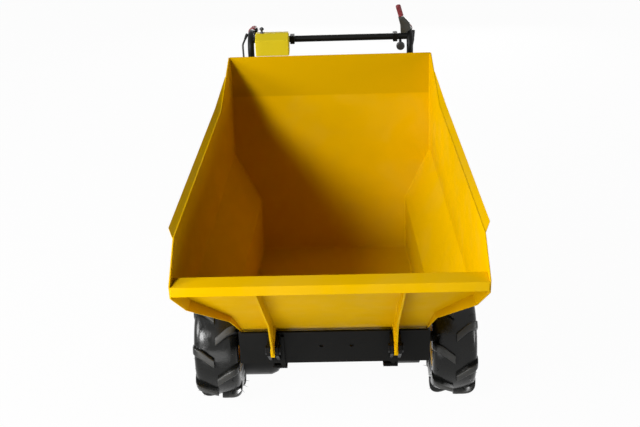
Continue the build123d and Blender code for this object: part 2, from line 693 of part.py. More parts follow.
def fuel_tank():
    """Two pressed shells with a seam flange, on two brackets over the crankcase."""
    (y0, y1), (z0, z1) = TANK_Y, TANK_Z
    depth, seam = y1 - y0, (z1 - z0) * 0.45
    upper = extrude(turned_corners(TANK_W, depth, TANK_R), z1 - z0 - seam, taper=9)
    lower = extrude(turned_corners(TANK_W, depth, TANK_R), seam, taper=9)
    tank = upper + mirror(lower, Plane.XY)
    tank += Pos(0, 0, -2) * extrude(turned_corners(TANK_W + 12, depth + 12, TANK_R + 6), 4)
    tank = Pos(0, CRANK_Y + (y0 + y1) / 2, CRANK_Z + z0 + seam) * tank
    for x in (-50, 50):
        tank += block((x - 10, x + 10), (CRANK_Y - 60, CRANK_Y), (CRANK_Z + BLOCK_TOP + FIT, CRANK_Z + z0 + 4))
    add("fuel_tank", tank)
    cap = RegularPolygon(CAP_R, 16)
    place = Pos(40, CRANK_Y + y0 * 0.5, CRANK_Z + z1 + FIT)
    add("fuel_cap", place * extrude(cap, CAP_H, taper=8))


def over_cylinder():
    """The air cleaner and the muffler, side by side over the cylinder, each on its stub pipe."""
    (y0, y1), (z0, z1) = HIGH_Y, HIGH_Z
    for name, (x0, x1), corner in (("air_cleaner", AIR_X, 20), ("muffler", MUFFLER_X, 26)):
        x, y = (x0 + x1) / 2, CRANK_Y + (y0 + y1) / 2
        body = extrude(turned_corners(x1 - x0, y1 - y0, corner), z1 - z0, taper=3)
        body = Pos(x, y, CRANK_Z + z0) * body
        if name == "muffler":
            for i in range(5):
                z = CRANK_Z + z0 + 22 + 12 * i
                body -= block((x - 34, x + 34), (CRANK_Y + y1 - 10, CRANK_Y + y1 + 1), (z, z + 5))
        else:
            body += Pos(x, y, CRANK_Z + z1) * extrude(RegularPolygon(9, 6), 10)
        body += block((x - 14, x + 14), (y - 14, y + 14), (CRANK_Z + z0 - 30, CRANK_Z + z0 + 4))
        add(name, body - parts["engine_cylinder"])


def belt_cover():
    x0 = -BLOCK_HALF_X - FIT
    ends = [(CRANK_Y, CRANK_Z, BELT_CASE_R[0]), (PULLEY_Y, PULLEY_Z, BELT_CASE_R[1])]
    cover = round_two(x0 - BELT_CASE_T, x0, *ends)
    add("belt_cover", cover)


# ---------------------------------------------------------------- handles and controls
def grip_frame(s):
    """The place of a handle's top corner, with +Y along the grip."""
    return Pos(s * HANDLE_X, HANDLE_Y, HANDLE_Z) * Rot(-GRIP_DROOP, 0, 0)


def handles():
    grip_end = (GRIP_END_Y - HANDLE_Y) / math.cos(DROOP) - GRIP_R * math.tan(DROOP)
    bend_end = TUBE_BEND * math.tan((math.pi / 2 + DROOP) / 2)
    perch = (bend_end + 1, bend_end + 17)
    grip_start = perch[1] + 3
    tube_end = grip_end - GRIP_END_T
    for side, s in SIDES:
        foot_x = s * HANDLE_FOOT_X
        route = [
            (foot_x, HANDLE_FOOT_Y, RAIL_Z[0] + 8),
            (foot_x, HANDLE_FOOT_Y, RAIL_Z[1] + 46),
            (s * HANDLE_X, HANDLE_Y, HANDLE_KNEE_Z),
            (s * HANDLE_X, HANDLE_Y, HANDLE_Z),
            (s * HANDLE_X, HANDLE_Y + tube_end * math.cos(DROOP), HANDLE_Z - tube_end * math.sin(DROOP)),
        ]
        handle = tube(route, [TUBE_BEND, TUBE_BEND, TUBE_BEND], TUBE_R, TUBE_SIDES)
        inner = RAIL_X + RAIL_W / 2 + FIT
        for z in (RAIL_Z[0] + 16, RAIL_Z[1] - 24):
            handle += block((s * inner, s * (HANDLE_FOOT_X + 4)), (HANDLE_FOOT_Y - 14, HANDLE_FOOT_Y + 14), (z, z + 10))
        add(f"handle_{side}", handle)
        section = RegularPolygon(GRIP_R, 16)
        grip = extrude(Plane.XZ * section, grip_end - grip_start, dir=(0, 1, 0))
        bore = extrude(Plane.XZ * RegularPolygon(TUBE_R + 2 * FIT, TUBE_SIDES), tube_end - grip_start + FIT, dir=(0, 1, 0))
        add(f"grip_{side}", grip_frame(s) * Pos(0, grip_start, 0) * (grip - bore))
        # the lever's blade under the grip, and its perch on the tube, as (Y, Z) along the grip
        reach = grip_end - 6
        blade = [
            (perch[0], -TUBE_R - 14),
            (perch[1], -TUBE_R - 20),
            (reach, -GRIP_R - 18),
            (reach, -GRIP_R - 12),
            (grip_start + 2, -TUBE_R - 14),
            (perch[1], -TUBE_R - FIT),
            (perch[0], -TUBE_R - FIT),
        ]
        lever = prism(blade, -4, 4)
        lever += block((-s * (TUBE_R + FIT), -s * (TUBE_R + 8)), perch, (-TUBE_R - 10, TUBE_R + 4))
        lever += block((-s * (TUBE_R + 8), 0), perch, (-TUBE_R - 10, -TUBE_R - FIT))
        add(f"hand_lever_{side}", grip_frame(s) * lever)


def crossbar_and_console():
    bar = rod(-HANDLE_X, HANDLE_X, BAR_Y, BAR_Z, BAR_R)
    for side, _ in SIDES:
        bar -= parts[f"handle_{side}"]
    for x0 in (CONSOLE_X[1] + 2, TIP_LEVER_X - 42):
        clamp = BAR_R + 3
        bar += block((x0, x0 + 14), (BAR_Y - clamp, BAR_Y + clamp), (BAR_Z - clamp, BAR_Z + clamp))
    add("crossbar", bar)
    back = BAR_Y - BAR_R - FIT
    front = back - CONSOLE_T
    bottom, middle, top = CONSOLE_Z
    box = [(front, bottom), (front, middle), (front + CONSOLE_SLOPE, top), (back, top), (back, bottom)]
    console = prism(box, *CONSOLE_X)
    add("console", chamfer(console.edges().group_by(Axis.X)[0] + console.edges().group_by(Axis.X)[-1], 2))
    stem = Pos(CONSOLE_X[0] + 20, back - 12, top + FIT)
    knob = extrude(RegularPolygon(3, 8), KNOB_STEM)
    half = extrude(RegularPolygon(KNOB_R, 8), KNOB_R * 0.8, taper=30)
    ball = Pos(0, 0, KNOB_STEM) * (half + mirror(half, Plane.XY))
    add("gear_lever", stem * (knob + ball))


def lever_and_throttle():
    """The tip lever on the crossbar's left end, its sleeve, and the throttle knob under the crossbar."""
    seat = BAR_Z + BAR_R + FIT
    x, w, h = TIP_LEVER_X, TIP_LEVER_W, TIP_LEVER_H
    head = x - TIP_LEVER_LEAN
    outline = [
        (x - 18, seat), (x - 2, seat), (x + w / 2, seat + h * 0.28), (x + w / 2 - 4, seat + h * 0.62),
        (head + 2, seat + h), (head - 17, seat + h), (head - 10, seat + h * 0.5),
    ]
    plate = extrude(Plane.XZ * make_face(Polyline(*outline, close=True)), 12, dir=(0, 1, 0))
    add("tip_lever", Pos(0, BAR_Y - 6, 0) * plate)
    section = RegularPolygon(TIP_GRIP_R, 12)
    sleeve = extrude(section, TIP_GRIP_L)
    end = extrude(section, 4, taper=40)
    sleeve += Pos(0, 0, TIP_GRIP_L) * end
    foot = seat + h + FIT + TIP_GRIP_R * math.sin(math.radians(TIP_GRIP_LEAN))
    add("tip_grip", Pos(head - 8, BAR_Y, foot) * Rot(0, -TIP_GRIP_LEAN, 0) * sleeve)
    knob = Plane.XZ * RegularPolygon(THROTTLE_R, 16)
    front = BAR_Y - BAR_R - 14
    z = BAR_Z - BAR_R - THROTTLE_R - 2
    throttle = Pos(x - 19, front, z) * extrude(knob, 10, dir=(0, 1, 0))
    throttle += block((x - 23, x - 15), (front + 10, BAR_Y + 4), (z - 4, BAR_Z - BAR_R - FIT))
    add("throttle", throttle)


def cables():
    """The right cable bows out beside its handle. The left one runs down behind its handle."""
    clear = TUBE_R + CABLE_R + FIT
    low = RAIL_Z[1] + DECK_T + CABLE_R + FIT
    x, foot_x = HANDLE_X + clear, HANDLE_FOOT_X + clear
    beside = [
        (-x - 1, BAR_Y + 34, BAR_Z + 8),
        (-x - CABLE_BOW, BAR_Y - 4, BAR_Z - 14),
        (-x - CABLE_BOW * 0.8, HANDLE_Y - 2, BAR_Z - 66),
        (-x - 0.6, HANDLE_Y, BAR_Z - 140),
        (-x - 1, HANDLE_Y - 2, HANDLE_KNEE_Z - 3),
        (-foot_x - 7, HANDLE_FOOT_Y - 8, RAIL_Z[1] + 62),
        (-DECK_W / 2 + 20, HANDLE_FOOT_Y - 44, low),
    ]
    behind = [
        (x + 1, BAR_Y + 34, BAR_Z + 8),
        (x, BAR_Y + 22, BAR_Z - 20),
        (HANDLE_X + 2, HANDLE_Y + clear, BAR_Z - 58),
        (HANDLE_X + 2, HANDLE_Y + clear, HANDLE_KNEE_Z),
        (HANDLE_FOOT_X + 4, HANDLE_FOOT_Y + clear + 1, RAIL_Z[1] + 62),
        (DECK_W / 2 - 18, HANDLE_FOOT_Y + clear + 8, low),
    ]
    add("cable_right", tube(beside, [14, 28, 60, 60, 30], CABLE_R, CABLE_SIDES))
    add("cable_left", tube(behind, [14, 28, 60, 30], CABLE_R, CABLE_SIDES))


wheels()
skip_sides()
skip_panels()
skip_ribs()
latch()
rails()
front_plate()
deck_and_pads()
axles()
chain_case()
gearbox()
crankcase()
cylinder()
recoil_starter()
fuel_tank()
over_cylinder()
belt_cover()
handles()
crossbar_and_console()
lever_and_throttle()
cables()
os.makedirs("parts", exist_ok=True)
for name, solid in parts.items():
    export_step(Pos(0, -Y_MIDDLE, 0) * solid, f"parts/{name}.step")
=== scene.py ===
"""Looks of a walk-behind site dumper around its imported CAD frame. Metres, -Y is the front, +X the machine's left."""
import json
import math
import random

import bmesh
import bpy
from mathutils import Matrix, Vector

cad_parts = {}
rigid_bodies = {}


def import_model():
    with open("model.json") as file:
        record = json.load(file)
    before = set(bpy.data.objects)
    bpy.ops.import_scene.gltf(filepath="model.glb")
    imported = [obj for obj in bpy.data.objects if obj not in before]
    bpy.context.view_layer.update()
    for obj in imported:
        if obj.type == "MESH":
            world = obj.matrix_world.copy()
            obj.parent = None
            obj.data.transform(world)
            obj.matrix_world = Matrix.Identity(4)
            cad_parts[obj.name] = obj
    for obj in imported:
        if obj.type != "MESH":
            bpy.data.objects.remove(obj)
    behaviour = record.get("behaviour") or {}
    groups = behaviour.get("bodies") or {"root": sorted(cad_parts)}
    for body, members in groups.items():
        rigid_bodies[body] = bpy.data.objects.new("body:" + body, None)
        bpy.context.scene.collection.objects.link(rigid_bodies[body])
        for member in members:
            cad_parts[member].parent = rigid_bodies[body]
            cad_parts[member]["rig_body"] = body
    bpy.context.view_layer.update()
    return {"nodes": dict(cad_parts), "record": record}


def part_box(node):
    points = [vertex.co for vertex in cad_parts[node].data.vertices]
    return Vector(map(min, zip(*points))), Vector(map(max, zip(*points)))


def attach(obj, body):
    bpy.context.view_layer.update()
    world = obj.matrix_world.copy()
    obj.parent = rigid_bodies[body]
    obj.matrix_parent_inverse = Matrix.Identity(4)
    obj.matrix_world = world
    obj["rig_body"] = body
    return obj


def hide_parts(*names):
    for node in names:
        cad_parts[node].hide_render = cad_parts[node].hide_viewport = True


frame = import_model()
NODES = frame["nodes"]
SLOTS = {part["node"]: part["material_slot"] for part in frame["record"]["subparts"]}
MM = 0.001
SIDES = (("left", 1), ("right", -1))
random.seed(7)

# ---------------------------------------------------------------- camera
CAMERA_AT = (0.0384, -2.4981, 1.8364)
CAMERA_YAW, CAMERA_PITCH, CAMERA_ROLL = -0.0291, 0.4807, -0.0351
CAMERA_LENS = 57.30


def camera():
    cy, sy = math.cos(CAMERA_YAW), math.sin(CAMERA_YAW)
    cp, sp = math.cos(CAMERA_PITCH), math.sin(CAMERA_PITCH)
    ahead = Vector((sy * cp, cy * cp, -sp))
    right = Vector((cy, -sy, 0))
    up = right.cross(ahead)
    cr, sr = math.cos(CAMERA_ROLL), math.sin(CAMERA_ROLL)
    across, upright = cr * right + sr * up, -sr * right + cr * up
    turn = Matrix((across, upright, -ahead)).transposed().to_4x4()
    data = bpy.data.cameras.new("camera")
    data.lens = CAMERA_LENS
    obj = bpy.data.objects.new("camera", data)
    obj.matrix_world = Matrix.Translation(CAMERA_AT) @ turn
    bpy.context.collection.objects.link(obj)
    bpy.context.scene.camera = obj


# ---------------------------------------------------------------- materials
def shader(name, color, roughness, metallic=0.0, coat=0.0, coat_roughness=0.1, specular=0.5):
    mat = bpy.data.materials.new(name)
    mat.use_nodes = True
    bsdf = mat.node_tree.nodes["Principled BSDF"]
    bsdf.inputs["Base Color"].default_value = (*color, 1)
    bsdf.inputs["Roughness"].default_value = roughness
    bsdf.inputs["Metallic"].default_value = metallic
    bsdf.inputs["Coat Weight"].default_value = coat
    bsdf.inputs["Coat Roughness"].default_value = coat_roughness
    bsdf.inputs["Specular IOR Level"].default_value = specular
    return mat, mat.node_tree, bsdf


def noise(tree, scale, detail=3.0, distortion=0.0):
    coords = tree.nodes.new("ShaderNodeTexCoord")
    node = tree.nodes.new("ShaderNodeTexNoise")
    node.inputs["Scale"].default_value = scale
    node.inputs["Detail"].default_value = detail
    node.inputs["Distortion"].default_value = distortion
    tree.links.new(coords.outputs["Object"], node.inputs["Vector"])
    return node.outputs["Fac"]


def spread(tree, value, low, high, at=(0.3, 0.7)):
    """Maps the part of a texture between two values to the range low-high."""
    node = tree.nodes.new("ShaderNodeMapRange")
    node.inputs["From Min"].default_value = at[0]
    node.inputs["From Max"].default_value = at[1]
    node.inputs["To Min"].default_value = low
    node.inputs["To Max"].default_value = high
    tree.links.new(value, node.inputs["Value"])
    return node.outputs["Result"]


def tint(tree, bsdf, value, color_a, color_b):
    """Mixes two colours by a value. A colour may be another node's output."""
    mix = tree.nodes.new("ShaderNodeMix")
    mix.data_type = "RGBA"
    for socket, color in ((mix.inputs[6], color_a), (mix.inputs[7], color_b)):
        if isinstance(color, tuple):
            socket.default_value = (*color, 1)
        else:
            tree.links.new(color, socket)
    tree.links.new(value, mix.inputs[0])
    tree.links.new(mix.outputs[2], bsdf.inputs["Base Color"])
    return mix.outputs[2]


def bump(tree, bsdf, value, distance, strength=1.0):
    node = tree.nodes.new("ShaderNodeBump")
    node.inputs["Strength"].default_value = strength
    node.inputs["Distance"].default_value = distance
    tree.links.new(value, node.inputs["Height"])
    tree.links.new(node.outputs["Normal"], bsdf.inputs["Normal"])


def scaled(color, k):
    return tuple(min(1.0, c * k) for c in color)


def paint(name, color, roughness=0.46, coat=0.0, peel=0.00004, specular=0.10, dust=None, painted_shade_band=None):
    """Sprayed paint: a slow change of tone, patchy gloss and orange peel.

    With dust given, it has a thin dry film. With the last argument given as (Z, factor), the colour over height Z is
    darkened by the factor. This is painted shade, standing in for the shade on a strip that is bent away from the
    light.
    """
    mat, tree, bsdf = shader(name, color, roughness, coat=coat, coat_roughness=0.25, specular=specular)
    tone = spread(tree, noise(tree, 3.5, 5), 0.0, 1.0)
    mixed = tint(tree, bsdf, tone, scaled(color, 0.92), scaled(color, 1.05))
    if dust:
        film = spread(tree, noise(tree, 9.0, 8, 0.6), 0.0, 0.16, (0.48, 0.75))
        mixed = tint(tree, bsdf, film, mixed, dust)
    # painted shade: a sharp step at height Z darkens the colour over it by the factor, where a bent strip would lie in
    # shade
    if painted_shade_band:
        coords = tree.nodes.new("ShaderNodeTexCoord")
        parts = tree.nodes.new("ShaderNodeSeparateXYZ")
        tree.links.new(coords.outputs["Object"], parts.inputs[0])
        painted_shade_mask = spread(tree, parts.outputs["Z"], 0.0, 1.0, (painted_shade_band[0] - 0.002, painted_shade_band[0] + 0.002))
        tint(tree, bsdf, painted_shade_mask, mixed, scaled(color, painted_shade_band[1]))
    tree.links.new(spread(tree, noise(tree, 24.0, 4), roughness - 0.06, roughness + 0.09), bsdf.inputs["Roughness"])
    bump(tree, bsdf, noise(tree, 420.0, 2), peel)
    return mat


def rubber(name, color, roughness=0.62, grain=0.00012, scale=260.0, specular=0.4):
    mat, tree, bsdf = shader(name, color, roughness, specular=specular)
    tint(tree, bsdf, spread(tree, noise(tree, 22.0, 5), 0.0, 1.0), scaled(color, 0.75), scaled(color, 1.3))
    tree.links.new(spread(tree, noise(tree, 60.0, 4), roughness - 0.1, roughness + 0.1), bsdf.inputs["Roughness"])
    bump(tree, bsdf, noise(tree, scale, 4), grain)
    return mat


def tyre_rubber(name, color, worn, radius):
    """Rubber that is glossy on the carcass, and greyer and duller where the tread meets the ground."""
    mat, tree, bsdf = shader(name, color, 0.4, specular=0.26)
    coords = tree.nodes.new("ShaderNodeTexCoord")
    flat = tree.nodes.new("ShaderNodeVectorMath")
    flat.operation = "MULTIPLY"
    flat.inputs[1].default_value = (0, 1, 1)
    tree.links.new(coords.outputs["Object"], flat.inputs[0])
    far = tree.nodes.new("ShaderNodeVectorMath")
    far.operation = "LENGTH"
    tree.links.new(flat.outputs[0], far.inputs[0])
    wear = spread(tree, far.outputs["Value"], 0.0, 1.0, (radius - 0.010, radius - 0.001))
    base = tint(tree, bsdf, spread(tree, noise(tree, 26.0, 6), 0.0, 1.0), scaled(color, 0.8), scaled(color, 1.25))
    tint(tree, bsdf, wear, base, worn)
    gloss = tree.nodes.new("ShaderNodeMath")
    tree.links.new(spread(tree, wear, 0.13, 0.36, (0.0, 1.0)), gloss.inputs[0])
    tree.links.new(spread(tree, noise(tree, 38.0, 6, 0.8), -0.05, 0.20), gloss.inputs[1])
    tree.links.new(gloss.outputs[0], bsdf.inputs["Roughness"])
    bump(tree, bsdf, noise(tree, 190.0, 6, 0.4), 0.0002)
    return mat


def metal(name, color, roughness, metallic=1.0, grain=0.00005, scale=300.0):
    mat, tree, bsdf = shader(name, color, roughness, metallic=metallic)
    tint(tree, bsdf, spread(tree, noise(tree, 18.0, 4), 0.0, 1.0), scaled(color, 0.85), scaled(color, 1.1))
    tree.links.new(spread(tree, noise(tree, 50.0, 3), roughness - 0.06, roughness + 0.1), bsdf.inputs["Roughness"])
    bump(tree, bsdf, noise(tree, scale, 4), grain)
    return mat


YELLOW = (0.63, 0.364, 0.0)
MATERIALS = {
    "skip_yellow": paint("skip_paint", YELLOW, specular=0.008, dust=(0.50, 0.34, 0.05)),
    # the back panel's strip over its upper fold, at Z 0.765, is darkened to 0.82 of the yellow: painted shade
    "skip_back": paint("skip_back_painted_shade", YELLOW, specular=0.008, dust=(0.50, 0.34, 0.05), painted_shade_band=(0.765, 0.82)),
    "rim_yellow": paint("rim_paint", (0.78, 0.43, 0.004), 0.42),
    "console_yellow": paint("console_paint", (0.54, 0.42, 0.012), 0.40),
    "frame_black": paint("frame_paint", (0.0030, 0.0030, 0.0026), 0.40, 0.0, 0.00006, 0.11),
    "tyre_rubber": tyre_rubber("tyre_rubber", (0.0042, 0.0044, 0.0040), (0.030, 0.030, 0.028), 0.165),
    "grip_red": rubber("grip_rubber", (0.15, 0.010, 0.014), 0.55, 0.0002, 180.0),
    "cable_black": rubber("cable_sheath", (0.012, 0.012, 0.012), 0.42, 0.00002),
    "pad_rubber": rubber("pad_rubber", (0.014, 0.014, 0.014), 0.8),
    "engine_alloy": metal("cast_alloy", (0.42, 0.43, 0.44), 0.48, 0.9, 0.0003, 240.0),
    "black_plastic": rubber("moulded_plastic", (0.012, 0.012, 0.0125), 0.42, 0.00006, 500.0),
    "muffler_steel": metal("muffler_steel", (0.40, 0.385, 0.37), 0.36),
    "lever_steel": metal("lever_steel", (0.075, 0.08, 0.078), 0.30, 0.7),
}


# ---------------------------------------------------------------- shapes
def turned_along(axis, at):
    """A place at a point with its X axis along the given direction."""
    return Matrix.Translation(at) @ Vector(axis).to_track_quat("X", "Z").to_matrix().to_4x4()


def lathe(bm, profile, place=Matrix(), sides=48, phase=0.0):
    """Turns a closed profile of (along, radius) points about the X axis."""
    rings = []
    for k in range(sides):
        a = 2 * math.pi * k / sides + phase
        rings.append([bm.verts.new(place @ Vector((x, r * math.sin(a), r * math.cos(a)))) for x, r in profile])
    for k in range(sides):
        here, there = rings[k], rings[(k + 1) % sides]
        for i in range(len(profile)):
            j = (i + 1) % len(profile)
            bm.faces.new((here[i], here[j], there[j], there[i]))


def slab(bm, outline, low, high, place=Matrix()):
    """A flat plate with its outline as (Y, Z) points, from X = low to X = high."""
    ends = [[bm.verts.new(place @ Vector((x, y, z))) for y, z in outline] for x in (low, high)]
    bm.faces.new(ends[0])
    bm.faces.new(ends[1])
    for i in range(len(outline)):
        j = (i + 1) % len(outline)
        bm.faces.new((ends[0][i], ends[0][j], ends[1][j], ends[1][i]))


def brick(bm, low, high, place=Matrix()):
    outline = [(low[1], low[2]), (high[1], low[2]), (high[1], high[2]), (low[1], high[2])]
    slab(bm, outline, low[0], high[0], place)


def route(points, radii, step=0.008):
    """Points along straight runs that arcs of the given radii join."""
    points = [Vector(p) for p in points]
    path = [points[0]]
    for before, corner, after, radius in zip(points, points[1:], points[2:], radii):
        u, v = (corner - before).normalized(), (after - corner).normalized()
        bend = u.angle(v)
        if bend < 0.02:
            path.append(corner)
            continue
        reach = radius * math.tan(bend / 2)
        centre = corner + (v - u).normalized() * radius / math.cos(bend / 2)
        a, b = corner - u * reach - centre, corner + v * reach - centre
        count = max(3, round(radius * bend / step))
        for k in range(count + 1):
            t = k / count
            path.append(centre + (a * math.sin((1 - t) * bend) + b * math.sin(t * bend)) / math.sin(bend))
    path.append(points[-1])
    return path


def sweep(bm, path, radius, sides=16):
    """A tube along a path. The radius may be a function of the point's number."""
    path = [Vector(p) for p in path]
    side = (path[1] - path[0]).orthogonal().normalized()
    rings = []
    for k, point in enumerate(path):
        ahead = (path[min(k + 1, len(path) - 1)] - path[max(k - 1, 0)]).normalized()
        side = (side - ahead * side.dot(ahead)).normalized()
        other = ahead.cross(side)
        r = radius(k) if callable(radius) else radius
        angles = [2 * math.pi * i / sides for i in range(sides)]
        rings.append([bm.verts.new(point + r * (math.cos(a) * side + math.sin(a) * other)) for a in angles])
    for here, there in zip(rings, rings[1:]):
        for i in range(sides):
            j = (i + 1) % sides
            bm.faces.new((here[i], here[j], there[j], there[i]))
    bm.faces.new(rings[0])
    bm.faces.new(rings[-1])


def bolt(bm, at, axis, radius=0.008, height=0.005, washer=True):
    """A hexagon head on a washer."""
    place = turned_along(axis, at)
    base = 0.0
    if washer:
        base = 0.0013
        r = radius * 1.3
        lathe(bm, [(0, 0), (0, r), (base * 0.7, r), (base, r * 0.96), (base, 0)], place, 20)
    top = base + height
    head = [(0, 0), (0, radius * 0.97), (base, radius), (top - radius * 0.12, radius), (top, radius * 0.84), (top, 0)]
    lathe(bm, head, place, 6, random.uniform(0, 1))


def weld(bm, start, end, radius=0.0024):
    """A rippled bead along a straight seam."""
    start, end = Vector(start), Vector(end)
    count = max(2, round((end - start).length / 0.0018))
    path = []
    for k in range(count + 1):
        wobble = Vector([random.uniform(-0.00025, 0.00025) for _ in range(3)])
        path.append(start.lerp(end, k / count) + wobble)
    sweep(bm, path, lambda k: radius * (1.0 + 0.10 * math.cos(k * 2.1) + random.uniform(-0.04, 0.04)), 8)


def piece(name, bm, like, slot=None, bevel=0.0, segments=2, limit=30.0, shade=40.0, replaces=(), at=None,
          finish=None):
    """Makes a shown piece from the gathered faces. It rides with the CAD node it is like."""
    bmesh.ops.remove_doubles(bm, verts=bm.verts, dist=1e-6)
    bmesh.ops.recalc_face_normals(bm, faces=bm.faces)
    if at is not None:
        bmesh.ops.translate(bm, verts=bm.verts, vec=-Vector(at))
    mesh = bpy.data.meshes.new(name)
    bm.to_mesh(mesh)
    bm.free()
    obj = bpy.data.objects.new(name, mesh)
    bpy.context.scene.collection.objects.link(obj)
    if bevel:
        mod = obj.modifiers.new("bevel", "BEVEL")
        mod.width = bevel
        mod.segments = segments
        mod.limit_method = "ANGLE"
        mod.angle_limit = math.radians(limit)
        mod.miter_outer = "MITER_ARC"
    mesh.shade_smooth()
    mesh.set_sharp_from_angle(angle=math.radians(shade))
    even = obj.modifiers.new("even", "WEIGHTED_NORMAL")
    even.keep_sharp = not bevel
    shown = bpy.data.meshes.new_from_object(obj.evaluated_get(bpy.context.evaluated_depsgraph_get()))
    obj.modifiers.clear()
    obj.data = shown
    bpy.data.meshes.remove(mesh)
    shown.name = name
    slot = slot or SLOTS[like]
    shown.materials.clear()
    shown.materials.append(MATERIALS[finish or slot])
    if at is not None:
        obj.location = at
    if replaces:
        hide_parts(*replaces)
    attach(obj, NODES[like]["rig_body"])
    return obj


def softened(node, bevel=0.001, segments=2, limit=24.0, shade=40.0, extra=None, finish=None):
    """A CAD node with its edges rounded over."""
    bm = bmesh.new()
    bm.from_mesh(NODES[node].data)
    bmesh.ops.remove_doubles(bm, verts=bm.verts, dist=2e-5)
    bmesh.ops.dissolve_limit(bm, angle_limit=math.radians(0.6), verts=bm.verts, edges=bm.edges)
    if extra:
        extra(bm)
    return piece(node + ".made", bm, node, bevel=bevel, segments=segments, limit=limit, shade=shade, replaces=(node,),
                 finish=finish)


def middle(node):
    low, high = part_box(node)
    return (low + high) / 2


# ---------------------------------------------------------------- tyres and rims
TYRE_R = 165.0 * MM
TYRE_HALF = 63.5 * MM
LUGS = 8
LUG_W = 25.0 * MM
LUG_SKEW = 42.0 * MM
LUG_DRAFT = 3.0 * MM
# half of the carcass as (X, radius) in mm, from the bore outwards: bead, two rings, wall, shoulder and tread
CARCASS = (
    (48.4, 77.0), (48.6, 88.0), (51.0, 92.5), (54.0, 94.8), (54.8, 97.3), (53.7, 99.5), (56.0, 103.6), (58.2, 105.0),
    (58.5, 107.0), (57.9, 108.4), (60.0, 114.0), (61.0, 121.0), (60.8, 128.0), (59.0, 134.8), (55.4, 140.8),
    (49.5, 145.4), (40.5, 148.7), (28.0, 150.6), (14.0, 151.6), (0.0, 152.0),
)
# along a lug from the middle of the tread: X, the crown's radius and the foot's radius in mm
LUG_LINE = (
    (2.5, 164.6, 145.0), (9.0, 164.9, 145.0), (18.0, 165.0, 145.0), (28.0, 165.0, 144.0), (37.0, 164.6, 142.0),
    (45.0, 163.2, 138.0), (51.0, 160.8, 133.0), (56.0, 157.2, 128.0), (59.8, 152.0, 124.0), (62.0, 145.0, 120.5),
    (63.0, 136.0, 118.5),
)
# places of the mould's vents on the shoulder: X and radius in mm
VENTS = ((58.0, 134.0), (53.0, 142.0), (46.0, 146.5), (40.0, 148.0))
WHISKERS = 20                               # on each half of a tyre
WHISKER_MAX, WHISKER_TOP = 0.015, 0.162     # the longest, and the radius that none passes


def lug(bm, half, turn):
    """One lug on the half of the tread that half (1 or -1) gives, running down over the shoulder."""
    rings = []
    knee = TYRE_HALF * 0.54
    for x, crown, low in LUG_LINE:
        x, crown, low = x * MM, crown * MM, low * MM
        along = 0.68 * x / knee if x < knee else 0.68 + 0.32 * (x - knee) / (TYRE_HALF - knee)
        mid = turn + LUG_SKEW * (along - 0.72) / TYRE_R
        over = max(0.0, (x - knee) / (TYRE_HALF - knee))
        foot, head = (LUG_W / 2 + 3.4 * MM) / TYRE_R, (LUG_W / 2 - 0.6 * MM) / TYRE_R * (1.0 - 0.08 * over)
        ring = []
        for r, a in ((low, -foot), (crown - 4.5 * MM, -(0.2 * foot + 0.8 * head)), (crown - 1.2 * MM, -0.90 * head),
                     (crown, -0.66 * head), (crown, 0.66 * head), (crown - 1.2 * MM, 0.90 * head),
                     (crown - 4.5 * MM, 0.2 * foot + 0.8 * head), (low, foot)):
            ring.append(bm.verts.new((half * x, r * math.sin(mid + a), r * math.cos(mid + a))))
        rings.append(ring)
    count = len(rings[0])
    for here, there in zip(rings, rings[1:]):
        for i in range(count):
            j = (i + 1) % count
            bm.faces.new((here[i], here[j], there[j], there[i]))
    bm.faces.new(rings[0])
    bm.faces.new(rings[-1])


def whisker(bm, root, out, length):
    """A rubber thread that a vent of the mould has left."""
    droop = Vector((0, random.uniform(-0.35, 0.35), random.uniform(-0.35, 0.35)))
    path = [root, root + out * length * 0.5, root + (out + droop).normalized() * length]
    sweep(bm, path, lambda k: 0.0009 - 0.00025 * k, 5)


def tyres():
    lead = (LUG_W / 2 - LUG_DRAFT - LUG_SKEW * 0.04) / TYRE_R
    profile = [(x * MM, r * MM) for x, r in CARCASS]
    profile += [(-x, r) for x, r in reversed(profile[:-1])]
    for end in ("front", "rear"):
        for side, side_sign in SIDES:
            node = f"tyre_{end}_{side}"
            centre = middle(node)
            bm = bmesh.new()
            lathe(bm, profile, sides=96)
            # the shell is turned the same way as the CAD tyre: a lug's corner on the ground
            for i in range(LUGS):
                for half, shift in ((1, 0.0), (-1, 0.5)):
                    lug(bm, half, 2 * math.pi * (i + shift) / LUGS + math.pi - lead)
            for half in (1, -1):
                # on the side that faces the chassis the threads are long; outside they end at the tyre's full width
                room = 0.012 if half * side_sign < 0 else -0.0008
                for i in range(WHISKERS):
                    a = 2 * math.pi * (i + random.uniform(-0.4, 0.4)) / WHISKERS
                    x, r = random.choice(VENTS)
                    root = Vector((half * x * MM, r * MM * math.sin(a), r * MM * math.cos(a)))
                    rise = (r - 115.0) / 50.0
                    out = Vector((half, rise * math.sin(a), rise * math.cos(a))).normalized()
                    reach = (TYRE_HALF + room - abs(root.x)) / abs(out.x) - 0.002
                    reach = min(reach, WHISKER_MAX, (WHISKER_TOP - r * MM) / max(rise, 0.1))
                    if reach > 0.002:
                        whisker(bm, root, out, reach)
            bmesh.ops.translate(bm, verts=bm.verts, vec=centre)
            piece(f"{node}.made", bm, node, bevel=0.0014, segments=2, limit=42, shade=60, replaces=(node,), at=centre)


# half section of the pressed rim in mm, from the outboard flange across the well to the inboard flange
RIM_SHELL = (
    (53.0, 90.2), (52.2, 92.0), (50.4, 91.6), (49.4, 88.5), (49.0, 80.0), (46.5, 77.2), (41.0, 76.6), (36.0, 74.8),
    (-36.0, 74.8), (-41.0, 76.6), (-46.5, 77.2), (-49.0, 80.0), (-49.4, 88.5), (-50.4, 91.6), (-52.2, 92.0),
    (-53.0, 90.2), (-52.4, 88.0), (-51.6, 79.0), (-49.2, 73.4), (-41.0, 72.6), (41.0, 72.6), (49.2, 73.4), (51.6, 79.0),
    (52.4, 88.0),
)
